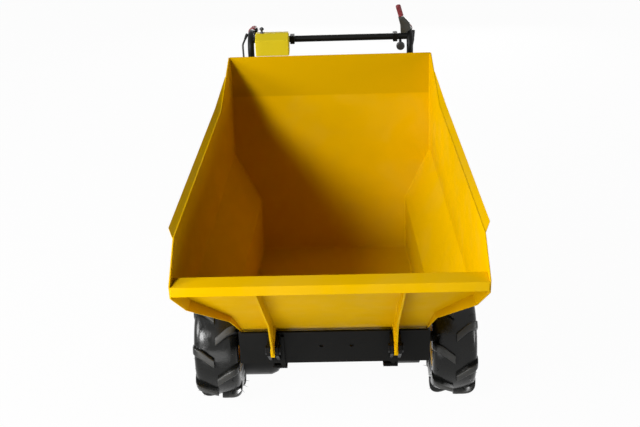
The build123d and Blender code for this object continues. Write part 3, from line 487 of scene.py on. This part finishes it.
# half sections of the disc and the hub in mm, and one of the disc's four windows as (Y, Z)
RIM_DISC = (
    (14.0, 15.2), (14.0, 40.0), (15.5, 62.0), (14.0, 73.0), (18.0, 73.0), (19.5, 62.0), (18.0, 40.0), (18.0, 15.2),
)
RIM_HUB = (
    (-45.0, 15.1), (-45.0, 28.0), (-43.0, 30.0), (12.0, 30.0), (14.0, 33.0), (21.0, 31.0), (22.0, 29.0), (22.0, 15.1),
)
RIM_WINDOW = ((-10, 42), (10, 42), (15, 60), (-15, 60))
RIM_VALVE = (
    (0, 0), (0, 0.0044), (0.010, 0.0038), (0.011, 0.0028), (0.016, 0.0028), (0.0165, 0.0036), (0.024, 0.0036),
    (0.025, 0.0030), (0.025, 0),
)
NUT_CIRCLE, VALVE_CIRCLE = 0.0365, 0.0675


def on_disc(x, radius, degrees):
    """A point at a radius of the disc, its angle from straight up."""
    a = math.radians(degrees)
    return Vector((x * MM, radius * math.sin(a), radius * math.cos(a)))


def rims():
    for end in ("front", "rear"):
        for side, s in SIDES:
            node = f"rim_{end}_{side}"
            centre = middle(node)
            place = Matrix.Translation(centre)
            bm = bmesh.new()
            lathe(bm, [(s * x * MM, r * MM) for x, r in RIM_SHELL], place, 72)
            disc = bmesh.new()
            lathe(disc, [(s * x * MM, r * MM) for x, r in RIM_DISC], place, 72)
            bmesh.ops.recalc_face_normals(disc, faces=disc.faces)
            cuts = bmesh.new()
            for i in range(4):
                turn = Matrix.Rotation(math.radians(90 * i + 45), 4, "X")
                slab(cuts, [(y * MM, z * MM) for y, z in RIM_WINDOW], s * 10 * MM, s * 24 * MM, place @ turn)
            bmesh.ops.recalc_face_normals(cuts, faces=cuts.faces)
            bm.from_mesh(cut_by(disc, cuts))
            lathe(bm, [(s * x * MM, r * MM) for x, r in RIM_HUB], place, 40)
            piece(f"{node}.made", bm, node, bevel=0.0006, segments=1, limit=50, replaces=(node,))
            hardware = bmesh.new()
            for i in range(4):
                bolt(hardware, centre + on_disc(s * 18.0, NUT_CIRCLE, 90 * i), (s, 0, 0), 0.0072, 0.0055)
            root = centre + on_disc(s * 15.0, VALVE_CIRCLE, 20)
            lathe(hardware, RIM_VALVE, turned_along((s, 0, 0), root), 14)
            piece(f"{node}.nuts", hardware, node, slot="frame_black", shade=35)


def cut_by(solid, cuts):
    """The mesh of a solid with another solid cut out of it."""
    objects = []
    for name, bm in (("solid", solid), ("cuts", cuts)):
        mesh = bpy.data.meshes.new(name)
        bm.to_mesh(mesh)
        bm.free()
        obj = bpy.data.objects.new(name, mesh)
        bpy.context.scene.collection.objects.link(obj)
        objects.append(obj)
    mod = objects[0].modifiers.new("cut", "BOOLEAN")
    mod.operation = "DIFFERENCE"
    mod.object = objects[1]
    mod.solver = "EXACT"
    mesh = bpy.data.meshes.new_from_object(objects[0].evaluated_get(bpy.context.evaluated_depsgraph_get()))
    for obj in objects:
        bpy.data.objects.remove(obj)
    return mesh


# ---------------------------------------------------------------- skip
FLOOR_Z, FLOOR_Y = 0.298, (-0.224, 0.223)
LIP_Y, LIP_Z = -0.701, 0.735
BACK_Y, BACK_TOP_Z = 0.312, 0.884
BACK_BEND = (0.306, 0.765)      # where the back panel turns upright, as (Y, Z)
PANEL_TOP_Y = -0.665            # the front panel's top, under the lip
RIB_X, SHEET = 0.159, 0.003
# a side at the lip and at the back: its half width, how much narrower it is below, and its two folds' heights
HALF_WIDTH, WAIST = (0.331, 0.289), (0.062, 0.076)
LOWER_FOLD, UPPER_FOLD = (0.446, 0.450), (0.586, 0.597)


def between(y, at_lip, at_back):
    return at_back + (BACK_Y - y) * (at_lip - at_back) / (BACK_Y - LIP_Y)


def wall(y):
    """Half widths below and above the folds, and the heights of the two folds, at Y."""
    wide = between(y, *HALF_WIDTH)
    return wide - between(y, *WAIST), wide, between(y, *LOWER_FOLD), between(y, *UPPER_FOLD)


def back_line(z):
    return FLOOR_Y[1] + (z - FLOOR_Z) * (BACK_BEND[0] - FLOOR_Y[1]) / (BACK_BEND[1] - FLOOR_Z)


def front_line(z):
    return FLOOR_Y[0] + (z - FLOOR_Z) * (PANEL_TOP_Y - FLOOR_Y[0]) / (LIP_Z - FLOOR_Z)


def corner(line, top):
    """Points up the inside corner of the left side and a panel that runs along the line Y = line(Z)."""
    low = high = 0.5
    for _ in range(20):
        low, high = wall(line(low))[2], wall(line(high))[3]
    points = []
    for z, upper in ((FLOOR_Z, 0), (low, 0), (high, 1), (top, 1)):
        points.append(Vector((wall(line(z))[upper], line(z), z)))
    return points


def skip():
    # the back panel takes the paint with painted shade over its upper fold
    softened("skip_back", 0.0008, 1, finish="skip_back")
    softened("skip_floor", 0.0008, 1)
    softened("skip_front", 0.0012, 2)
    softened("latch_striker", 0.0012, 2)
    back, front = corner(back_line, BACK_BEND[1]), corner(front_line, LIP_Z - 0.006)
    back.append(Vector((wall(BACK_Y)[1], BACK_Y, BACK_TOP_Z - 0.003)))
    floor_run = [back[0], front[0]]
    for side, s in SIDES:
        softened(f"skip_side_{side}", 0.0012, 2)
        softened(f"skip_rib_{side}", 0.0012, 2)
        bm = bmesh.new()
        for run in (back, front, floor_run):
            for a, b in zip(run, run[1:]):
                weld(bm, (s * a.x, a.y, a.z), (s * b.x, b.y, b.z), 0.0026)
        piece(f"skip_side_{side}.welds", bm, f"skip_side_{side}", shade=60)
        bm = bmesh.new()
        slope = Vector((0, PANEL_TOP_Y - FLOOR_Y[0], LIP_Z - FLOOR_Z)).normalized()
        out = Vector((0, -slope.z, slope.y)) * SHEET
        foot = Vector((0, FLOOR_Y[0], FLOOR_Z)) + out
        for e in (-1, 1):
            for half, start, end in ((0.0055, 0.022, 0.095), (0.0028, 0.097, 0.575)):
                x = Vector((s * RIB_X + e * half, 0, 0))
                weld(bm, x + foot + slope * start, x + foot + slope * end, 0.0022)
        piece(f"skip_rib_{side}.welds", bm, f"skip_rib_{side}", shade=60)
    for name, y in (("skip_front", FLOOR_Y[0]), ("skip_back", FLOOR_Y[1])):
        half = wall(y)[0]
        bm = bmesh.new()
        weld(bm, (-half, y, FLOOR_Z), (half, y, FLOOR_Z), 0.0024)
        piece(f"{name}.weld", bm, name, shade=60)


# ---------------------------------------------------------------- handles and controls
HANDLE_X, HANDLE_Y, HANDLE_Z = 0.246, 0.536, 0.880
KNEE_Z = 0.520
FOOT = (0.184, 0.522, 0.216, 0.330)     # the upright run at a handle's foot: X, Y and its ends in Z
DROOP = math.radians(12)                # of a grip, below level
# along a grip from the handle's top corner: the rubber sleeve, and the lever's clamp
GRIP_START, GRIP_END = 0.0817, 0.16909
PERCH = (0.0627, 0.0787)
BEND, TUBE_R = 0.050, 0.010
STRAP_X, STRAP_Z, STRAP_W, STRAP_HALF = (0.1683, 0.188), (0.224, 0.260), 0.010, 0.014
BAR_Y, BAR_Z, BAR_R = 0.5545, 0.8571, 0.010
CLAMP_X, CLAMP_W = (-0.124, 0.194), 0.014   # the two blocks that hold the console on the crossbar
CABLE_R, CABLE_CLEAR, CABLE_LOW_Z = 0.003, 0.0133, 0.2933


def grip_place(s):
    """A place at a handle's top corner, its X axis along the grip and its Z axis up."""
    along = Vector((0, math.cos(DROOP), -math.sin(DROOP)))
    up = Vector((0, math.sin(DROOP), math.cos(DROOP)))
    turn = Matrix((along, up.cross(along), up)).transposed().to_4x4()
    return Matrix.Translation((s * HANDLE_X, HANDLE_Y, HANDLE_Z)) @ turn


def handles():
    for side, s in SIDES:
        place = grip_place(s)
        x, y, z0, z1 = FOOT
        path = route(
            [
                (s * x, y, z0), (s * x, y, z1), (s * HANDLE_X, HANDLE_Y, KNEE_Z), (s * HANDLE_X, HANDLE_Y, HANDLE_Z),
                place @ Vector((GRIP_END - 0.003, 0, 0)),
            ],
            [BEND, BEND, BEND], 0.005)
        bm = bmesh.new()
        sweep(bm, path, TUBE_R, 28)
        low, high = sorted(s * edge for edge in STRAP_X)
        for z in STRAP_Z:
            brick(bm, (low, y - STRAP_HALF, z), (high, y + STRAP_HALF, z + STRAP_W))
        piece(f"handle_{side}.made", bm, f"handle_{side}", bevel=0.0008, limit=50, replaces=(f"handle_{side}",))
        grip = [(GRIP_START, 0.0102), (GRIP_START, 0.0118), (GRIP_START + 0.001, 0.0135), (GRIP_START + 0.0035, 0.0135)]
        at = GRIP_START + 0.005
        while at < GRIP_END - 0.012:
            grip += [(at, 0.0116), (at + 0.0008, 0.01235), (at + 0.0024, 0.0125), (at + 0.0040, 0.01235),
                     (at + 0.0048, 0.0116)]
            at += 0.0054
        grip += [(GRIP_END - 0.006, 0.0121), (GRIP_END - 0.0025, 0.0125), (GRIP_END - 0.0005, 0.0112),
                 (GRIP_END, 0.009), (GRIP_END, 0), (GRIP_END - 0.0028, 0), (GRIP_END - 0.0028, 0.0102)]
        bm = bmesh.new()
        lathe(bm, [(a, min(r, 0.0128)) for a, r in grip], place, 40)
        piece(f"grip_{side}.made", bm, f"grip_{side}", shade=50, replaces=(f"grip_{side}",))
        softened(f"hand_lever_{side}", 0.0022, 3)
        bm = bmesh.new()
        for a in (PERCH[0] + 0.004, PERCH[1] - 0.004):
            bolt(bm, place @ Vector((a, s * 0.018, 0.0)), (-s, 0, 0), 0.0032, 0.0025, False)
        piece(f"hand_lever_{side}.screws", bm, f"hand_lever_{side}", slot="muffler_steel", shade=35)


def controls():
    bm = bmesh.new()
    reach = HANDLE_X - 0.006
    lathe(bm, [(-reach, 0), (-reach, BAR_R), (reach, BAR_R), (reach, 0)], Matrix.Translation((0, BAR_Y, BAR_Z)), 28)
    c = BAR_R + 0.003
    for x in CLAMP_X:
        brick(bm, (x, BAR_Y - c, BAR_Z - c), (x + CLAMP_W, BAR_Y + c, BAR_Z + c))
    piece("crossbar.made", bm, "crossbar", bevel=0.0015, limit=50, replaces=("crossbar",))
    softened("console", 0.003, 3)
    softened("tip_lever", 0.002, 3, finish="lever_steel")
    low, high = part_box("tip_grip")
    lean = math.radians(16)
    along = Vector((-math.sin(lean), 0, math.cos(lean)))
    top = Vector((low.x + 0.0066, BAR_Y, high.z - 0.0014))
    foot = top - along * 0.0365
    sleeve = [(0, 0), (0, 0.0074), (0.001, 0.008), (0.004, 0.008), (0.005, 0.0072)]
    for k in range(5):
        at = 0.006 + 0.005 * k
        sleeve += [(at, 0.0076), (at + 0.0012, 0.0080), (at + 0.0030, 0.0080), (at + 0.0042, 0.0076)]
    sleeve += [(0.0325, 0.0078), (0.0350, 0.0066), (0.0362, 0.0040), (0.0365, 0)]
    bm = bmesh.new()
    lathe(bm, sleeve, turned_along(along, foot), 28)
    piece("tip_grip.made", bm, "tip_grip", shade=50, replaces=("tip_grip",))
    low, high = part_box("gear_lever")
    at = Vector(((low.x + high.x) / 2, (low.y + high.y) / 2, low.z))
    knob = [(0, 0), (0, 0.006), (0.0015, 0.0055), (0.004, 0.0035), (0.007, 0.003), (0.0085, 0.0034), (0.0095, 0.0055),
            (0.0115, 0.0069), (0.0140, 0.0069), (0.0165, 0.0054), (0.0182, 0.0026), (0.0186, 0)]
    bm = bmesh.new()
    lathe(bm, knob, turned_along((0, 0, 1), at), 32)
    piece("gear_lever.made", bm, "gear_lever", shade=60, replaces=("gear_lever",))
    low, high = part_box("throttle")
    cx = (low.x + high.x) / 2
    knob_at = Vector((cx, low.y, low.z + 0.013))
    bm = bmesh.new()
    lathe(bm, [(0, 0), (0, 0.0095), (0.001, 0.0118), (0.0025, 0.013), (0.0075, 0.013), (0.0095, 0.012), (0.010, 0.010),
               (0.010, 0)], turned_along((0, 1, 0), knob_at), 36)
    brick(bm, (cx - 0.004, low.y + 0.010, low.z + 0.009), (cx + 0.004, high.y, high.z))
    piece("throttle.made", bm, "throttle", bevel=0.0008, limit=45, replaces=("throttle",))


def cables():
    x, foot_x = HANDLE_X + CABLE_CLEAR, FOOT[0] + CABLE_CLEAR
    beside = [
        (-x - 0.001, BAR_Y + 0.034, BAR_Z + 0.008),
        (-x - 0.013, BAR_Y - 0.004, BAR_Z - 0.014),
        (-x - 0.0104, HANDLE_Y - 0.002, BAR_Z - 0.066),
        (-x - 0.0006, HANDLE_Y, BAR_Z - 0.140),
        (-x - 0.001, HANDLE_Y - 0.002, KNEE_Z - 0.003),
        (-foot_x - 0.007, FOOT[1] - 0.008, 0.346),
        (-0.148, FOOT[1] - 0.044, CABLE_LOW_Z),
    ]
    behind = [
        (x + 0.001, BAR_Y + 0.034, BAR_Z + 0.008),
        (x, BAR_Y + 0.022, BAR_Z - 0.020),
        (HANDLE_X + 0.002, HANDLE_Y + CABLE_CLEAR, BAR_Z - 0.058),
        (HANDLE_X + 0.002, HANDLE_Y + CABLE_CLEAR, KNEE_Z),
        (FOOT[0] + 0.004, FOOT[1] + CABLE_CLEAR + 0.001, 0.346),
        (0.150, FOOT[1] + CABLE_CLEAR + 0.008, CABLE_LOW_Z),
    ]
    runs = (("right", beside, [0.014, 0.028, 0.060, 0.060, 0.030]), ("left", behind, [0.014, 0.028, 0.060, 0.030]))
    for side, points, radii in runs:
        path = route(points, radii, 0.004)
        bm = bmesh.new()
        sweep(bm, path, CABLE_R, 14)
        # the metal ferrule and rubber boot where the cable enters the lever's perch
        along = (path[1] - path[0]).normalized()
        boot = [(0, 0), (0, 0.0046), (0.010, 0.0046), (0.012, 0.0040), (0.020, 0.0037), (0.021, 0)]
        lathe(bm, boot, turned_along(along, path[0] + along * 0.0005), 16)
        piece(f"cable_{side}.made", bm, f"cable_{side}", shade=50, replaces=(f"cable_{side}",))


# ---------------------------------------------------------------- chassis and engine
FRONT_Y, REAR_Y = -0.068, 0.432     # the two axles
AXLE_Z = 0.165
RAIL_IN, RAIL_OUT, RAIL_FRONT_Y = 0.128, 0.168, -0.265
RAIL_Z = (0.208, 0.284)
HANGER_X, HANGER_HALF = 0.1365, 0.059
PLATE_BACK_Y = 0.578
DECK_TOP, BLOCK_FOOT_TOP = 0.290, 0.302
GEARBOX_FLANGE_X, CASE_PLATE_X = 0.0225, -0.240
CRANK = Vector((0, 0.412, 0.392))
FAN_FACE_X, FAN_RAISE = 0.122, 0.004
BELT_FACE_X, PULLEY = -0.1225, (0.282, 0.235)
CYLINDER_FOOT = Vector((0, 0.040, 0.006))
CYLINDER_LEAN, COVER_TOP = 65.0, 0.144
MUFFLER_BACK_Y, MUFFLER_Z, TAPER = 0.5415, 0.476, 3.0


def bolts(name, node, places, slot, radius=0.006, height=0.0045):
    """A set of bolt heads on a node, as pairs of a point and a direction."""
    bm = bmesh.new()
    for at, axis in places:
        bolt(bm, Vector(at), axis, radius, height)
    piece(name, bm, node, slot=slot, shade=35)


def around(x, y, z, radius, degrees):
    """A point at an angle from straight up, turning to the rear, in the plane of X."""
    a = math.radians(degrees)
    return (x, y + radius * math.sin(a), z + radius * math.cos(a))


def chassis():
    for node in ("front_plate", "rear_plate", "engine_deck", "rail_left", "rail_right", "hinge_pin_left",
                 "hinge_pin_right", "latch_pawl"):
        softened(node)
    softened("rest_pads", 0.002, 2)
    for node in ("front_axle", "rear_axle", "chain_case", "gearbox"):
        softened(node, 0.0020, 3)
    low, top = RAIL_Z
    for side, s in SIDES:
        places = [((s * RAIL_OUT, y + d, low + 0.018), (s, 0, 0)) for y in (FRONT_Y, REAR_Y) for d in (-0.040, 0.040)]
        bolts(f"rail_{side}.bolts", f"rail_{side}", places, "frame_black", 0.0075, 0.0055)
        bm = bmesh.new()
        x = s * HANGER_X
        for y in (FRONT_Y, REAR_Y):
            weld(bm, (x, y - HANGER_HALF, low - 0.0005), (x, y + HANGER_HALF, low - 0.0005), 0.0024)
        y = RAIL_FRONT_Y - 0.0005
        for z in (low + 0.0005, top - 0.0005):
            weld(bm, (s * (RAIL_IN + 0.001), y, z), (s * (RAIL_OUT - 0.001), y, z), 0.0026)
        piece(f"rail_{side}.welds", bm, f"rail_{side}", shade=60)
        foot = [((s * (FOOT[0] + 0.010), FOOT[1], z), (s, 0, 0)) for z in (0.229, 0.265)]
        bolts(f"handle_{side}.bolts", f"handle_{side}", foot, "muffler_steel", 0.0062, 0.0045)
    places = [((x, PLATE_BACK_Y, z), (0, 1, 0)) for x in (-0.148, 0.148) for z in (0.226, 0.262)]
    bolts("rear_plate.bolts", "rear_plate", places, "frame_black", 0.0075, 0.0055)
    places = [((x, y, DECK_TOP), (0, 0, 1)) for x in (-0.150, 0.150) for y in (0.300, 0.556)]
    bolts("engine_deck.bolts", "engine_deck", places, "frame_black", 0.007, 0.005)
    seam = [(0.200, 0.109), (0.260, 0.109), (0.185, 0.150), (0.185, 0.232), (0.381, 0.172), (0.381, 0.232),
            (0.210, 0.271), (0.355, 0.271)]
    places = [((GEARBOX_FLANGE_X, y, z), (1, 0, 0)) for y, z in seam]
    bolts("gearbox.bolts", "gearbox", places, "muffler_steel", 0.0045, 0.004)
    places = []
    for k in range(4):
        for d in (1, -1):
            places.append(((CASE_PLATE_X, FRONT_Y + 0.125 + 0.058 * k, AXLE_Z + d * (0.078 - 0.0035 * k)), (-1, 0, 0)))
    bolts("chain_case.bolts", "chain_case", places, "frame_black", 0.0055, 0.004)


def on_cylinder(x, y, z):
    """A place on the leaning cylinder: across, upwards off its axis and along it, with its Z axis along it."""
    turn = Matrix.Rotation(math.radians(-CYLINDER_LEAN), 4, "X")
    return Matrix.Translation(CRANK + CYLINDER_FOOT) @ turn @ Matrix.Translation((x, y, z))


def spark_plug():
    """The plug in the head's left side, its elbow and the lead to the fan housing."""
    root = on_cylinder(0.042, 0.0, 0.110)
    bm = bmesh.new()
    plug = [(0, 0), (0, 0.009), (0.008, 0.009), (0.009, 0.006), (0.018, 0.0055), (0.018, 0)]
    lathe(bm, plug, root, 18)
    piece("engine_cylinder.plug", bm, "engine_cylinder", slot="muffler_steel", shade=35)
    start, elbow = root @ Vector((0.014, 0, 0)), root @ Vector((0.032, 0, 0))
    path = route([start, elbow, elbow + Vector((0.004, -0.030, 0.024)), (0.100, 0.512, 0.470), (0.100, 0.490, 0.462)],
                 [0.012, 0.02, 0.012], 0.004)
    boot = len([point for point in path if (point - start).length < 0.034])
    bm = bmesh.new()
    sweep(bm, path, lambda k: 0.0075 if k < boot else 0.0034, 14)
    piece("engine_cylinder.lead", bm, "engine_cylinder", slot="black_plastic", shade=50)


def pull_handle():
    """The starter rope's guide and its grip, on the front of the fan housing."""
    a = math.radians(-72)
    out = Vector((0, math.sin(a), math.cos(a)))
    place = turned_along(out, CRANK + Vector((0.100, 0, FAN_RAISE)) + out * 0.0885)
    bm = bmesh.new()
    lathe(bm, [(0, 0), (0, 0.013), (0.004, 0.013), (0.007, 0.009), (0.010, 0.0085), (0.010, 0)], place, 24)
    bar = [(-0.022, 0), (-0.0225, 0.004), (-0.019, 0.0066), (-0.008, 0.0062), (0.0, 0.0070), (0.008, 0.0062),
           (0.019, 0.0066), (0.0225, 0.004), (0.022, 0)]
    lathe(bm, bar, turned_along((1, 0, 0), place @ Vector((0.017, 0, 0))), 20)
    piece("recoil_starter.grip", bm, "recoil_starter", shade=50)


def fuel_system():
    """The line from the tank to the carburettor, and the tank's ribbed cap."""
    bm = bmesh.new()
    sweep(bm, route([(0.072, 0.428, 0.458), (0.072, 0.446, 0.440), (0.066, 0.474, 0.440), (0.063, 0.482, 0.458)],
                    [0.012, 0.012], 0.003), 0.0035, 14)
    piece("fuel_tank.line", bm, "fuel_tank", slot="cable_black", shade=60)
    bm = bmesh.new()
    low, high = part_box("fuel_cap")
    x, y, r = (low.x + high.x) / 2, (low.y + high.y) / 2, (high.x - low.x) / 2 - 0.0012
    up = turned_along((0, 0, 1), (x, y, low.z))
    lathe(bm, [(0, 0), (0, r), (0.0145, r - 0.0012), (0.0175, r - 0.0035), (0.0180, r - 0.008), (0.0165, r - 0.010),
               (0.0165, 0)], up, 48)
    for k in range(20):
        turn = up @ Matrix.Rotation(2 * math.pi * k / 20, 4, "X")
        brick(bm, (0.001, -0.0018, r - 0.003), (0.0145, 0.0018, r + 0.0008), turn)
    piece("fuel_cap.made", bm, "fuel_cap", shade=40, replaces=("fuel_cap",))


def muffler_details():
    """The heat shield's screws and the outlet pipe."""
    bm = bmesh.new()
    for x in (-0.090, -0.026):
        for z in (0.484, 0.580):
            y = MUFFLER_BACK_Y - (z - MUFFLER_Z) * math.tan(math.radians(TAPER))
            bolt(bm, Vector((x, y, z)), (0, 1, 0), 0.0036, 0.003)
    outlet = [(0, 0), (0, 0.0105), (0.016, 0.0105), (0.0165, 0.0095), (0.0165, 0.0085), (0.004, 0.0082), (0.004, 0)]
    lathe(bm, outlet, turned_along((-1, 0, -0.15), (-0.1105, 0.500, 0.505)), 24)
    piece("muffler.details", bm, "muffler", shade=35)


def engine():
    softened("engine_crankcase", 0.004, 3)
    softened("engine_cylinder", 0.0008, 2)
    for node in ("recoil_starter", "belt_cover", "fuel_tank"):
        softened(node, 0.003, 3)
    for node in ("air_cleaner", "muffler"):
        softened(node, 0.0015, 2)
    places = [((x, y, BLOCK_FOOT_TOP), (0, 0, 1)) for x in (-0.058, 0.058) for y in (0.3215, 0.4870)]
    places.append(((-0.052, 0.327, 0.312), (0, -1, 0)))
    bolts("engine_crankcase.bolts", "engine_crankcase", places, "muffler_steel", 0.0062, 0.005)
    bm = bmesh.new()
    for x in (-0.030, 0.030):
        for y in (-0.030, 0.030):
            place = on_cylinder(x, y, COVER_TOP)
            bolt(bm, place.translation, place.to_3x3() @ Vector((0, 0, 1)), 0.0042, 0.0035)
    piece("engine_cylinder.bolts", bm, "engine_cylinder", slot="muffler_steel", shade=35)
    spark_plug()
    pull_handle()
    fan = [around(FAN_FACE_X, CRANK.y, CRANK.z + FAN_RAISE, 0.0795, d) for d in (-30, -115, 165, 105)]
    fan.append(around(FAN_FACE_X, CRANK.y + 0.062, CRANK.z + 0.062, 0.022, 30))
    bolts("recoil_starter.bolts", "recoil_starter", [(at, (1, 0, 0)) for at in fan], "muffler_steel", 0.0042, 0.0035)
    belt = [around(BELT_FACE_X, CRANK.y, CRANK.z, 0.058, d) for d in (-20, 60, 130)]
    belt += [around(BELT_FACE_X, *PULLEY, 0.038, d) for d in (-130, -50, 170)]
    bolts("belt_cover.bolts", "belt_cover", [(at, (-1, 0, 0)) for at in belt], "muffler_steel", 0.0045, 0.0035)
    fuel_system()
    muffler_details()


# ---------------------------------------------------------------- stage
FLOOR, FLOOR_GLOW = (0.45, 0.45, 0.45), 0.97     # the glow is only what background_rays finds, and lights nothing
SKY = 0.035
# name, position, width, height, watts
LAMPS = (
    ("key", (-2.7, -3.1, 3.0), 1.1, 1.1, 240),
    ("side", (-3.6, -0.9, 2.2), 1.4, 1.4, 125),
    ("low", (-0.35, -1.05, 0.03), 0.8, 0.8, 6.5),
    ("strip", (-1.25, -2.0, 0.5), 0.10, 0.9, 7),
    ("right", (3.2, -0.6, 0.7), 1.4, 1.0, 45),
    ("back", (0.3, 3.4, 0.8), 2.0, 1.2, 46),
)


def background_rays(nodes, links):
    """1 for the rays that should find a white background: the camera's, and those off metal and through glass."""
    path = nodes.new("ShaderNodeLightPath")
    found = path.outputs["Is Camera Ray"]
    for kind in ("Is Glossy Ray", "Is Transmission Ray"):
        either = nodes.new("ShaderNodeMath")
        either.operation = "MAXIMUM"
        links.new(found, either.inputs[0])
        links.new(path.outputs[kind], either.inputs[1])
        found = either.outputs[0]
    return found


def stage():
    bpy.ops.mesh.primitive_plane_add(size=60, location=(0, 0, 0))
    floor = bpy.context.object
    floor.name = "floor"
    mat, tree, bsdf = shader("floor_white", FLOOR, 0.8, specular=0.1)
    floor.data.materials.append(mat)
    light = tree.nodes.new("ShaderNodeEmission")
    light.inputs["Color"].default_value = (1, 1, 1, 1)
    light.inputs["Strength"].default_value = 1.0
    part = tree.nodes.new("ShaderNodeMath")
    part.operation = "MULTIPLY"
    part.inputs[1].default_value = FLOOR_GLOW
    tree.links.new(background_rays(tree.nodes, tree.links), part.inputs[0])
    mix = tree.nodes.new("ShaderNodeMixShader")
    tree.links.new(part.outputs[0], mix.inputs[0])
    tree.links.new(bsdf.outputs[0], mix.inputs[1])
    tree.links.new(light.outputs[0], mix.inputs[2])
    tree.links.new(mix.outputs[0], tree.nodes["Material Output"].inputs[0])

    world = bpy.data.worlds.new("studio")
    bpy.context.scene.world = world
    world.use_nodes = True
    nodes, links = world.node_tree.nodes, world.node_tree.links
    sky = nodes["Background"]
    sky.inputs["Color"].default_value = (1, 1, 1, 1)
    sky.inputs["Strength"].default_value = SKY
    seen = nodes.new("ShaderNodeBackground")
    seen.inputs["Color"].default_value = (1, 1, 1, 1)
    mix = nodes.new("ShaderNodeMixShader")
    links.new(background_rays(nodes, links), mix.inputs[0])
    links.new(sky.outputs[0], mix.inputs[1])
    links.new(seen.outputs[0], mix.inputs[2])
    links.new(mix.outputs[0], nodes["World Output"].inputs[0])

    for name, at, width, height, watts in LAMPS:
        data = bpy.data.lights.new(name, "AREA")
        data.shape = "RECTANGLE"
        data.size = width
        data.size_y = height
        data.energy = watts
        lamp = bpy.data.objects.new(name, data)
        lamp.location = at
        aim = Vector((0, -0.1, 0.45)) - Vector(at)
        lamp.rotation_euler = aim.to_track_quat("-Z", "Y").to_euler()
        lamp.visible_camera = False
        bpy.context.collection.objects.link(lamp)
    bpy.context.scene.view_settings.view_transform = "Standard"


camera()
stage()
tyres()
rims()
skip()
handles()
controls()
cables()
chassis()
engine()
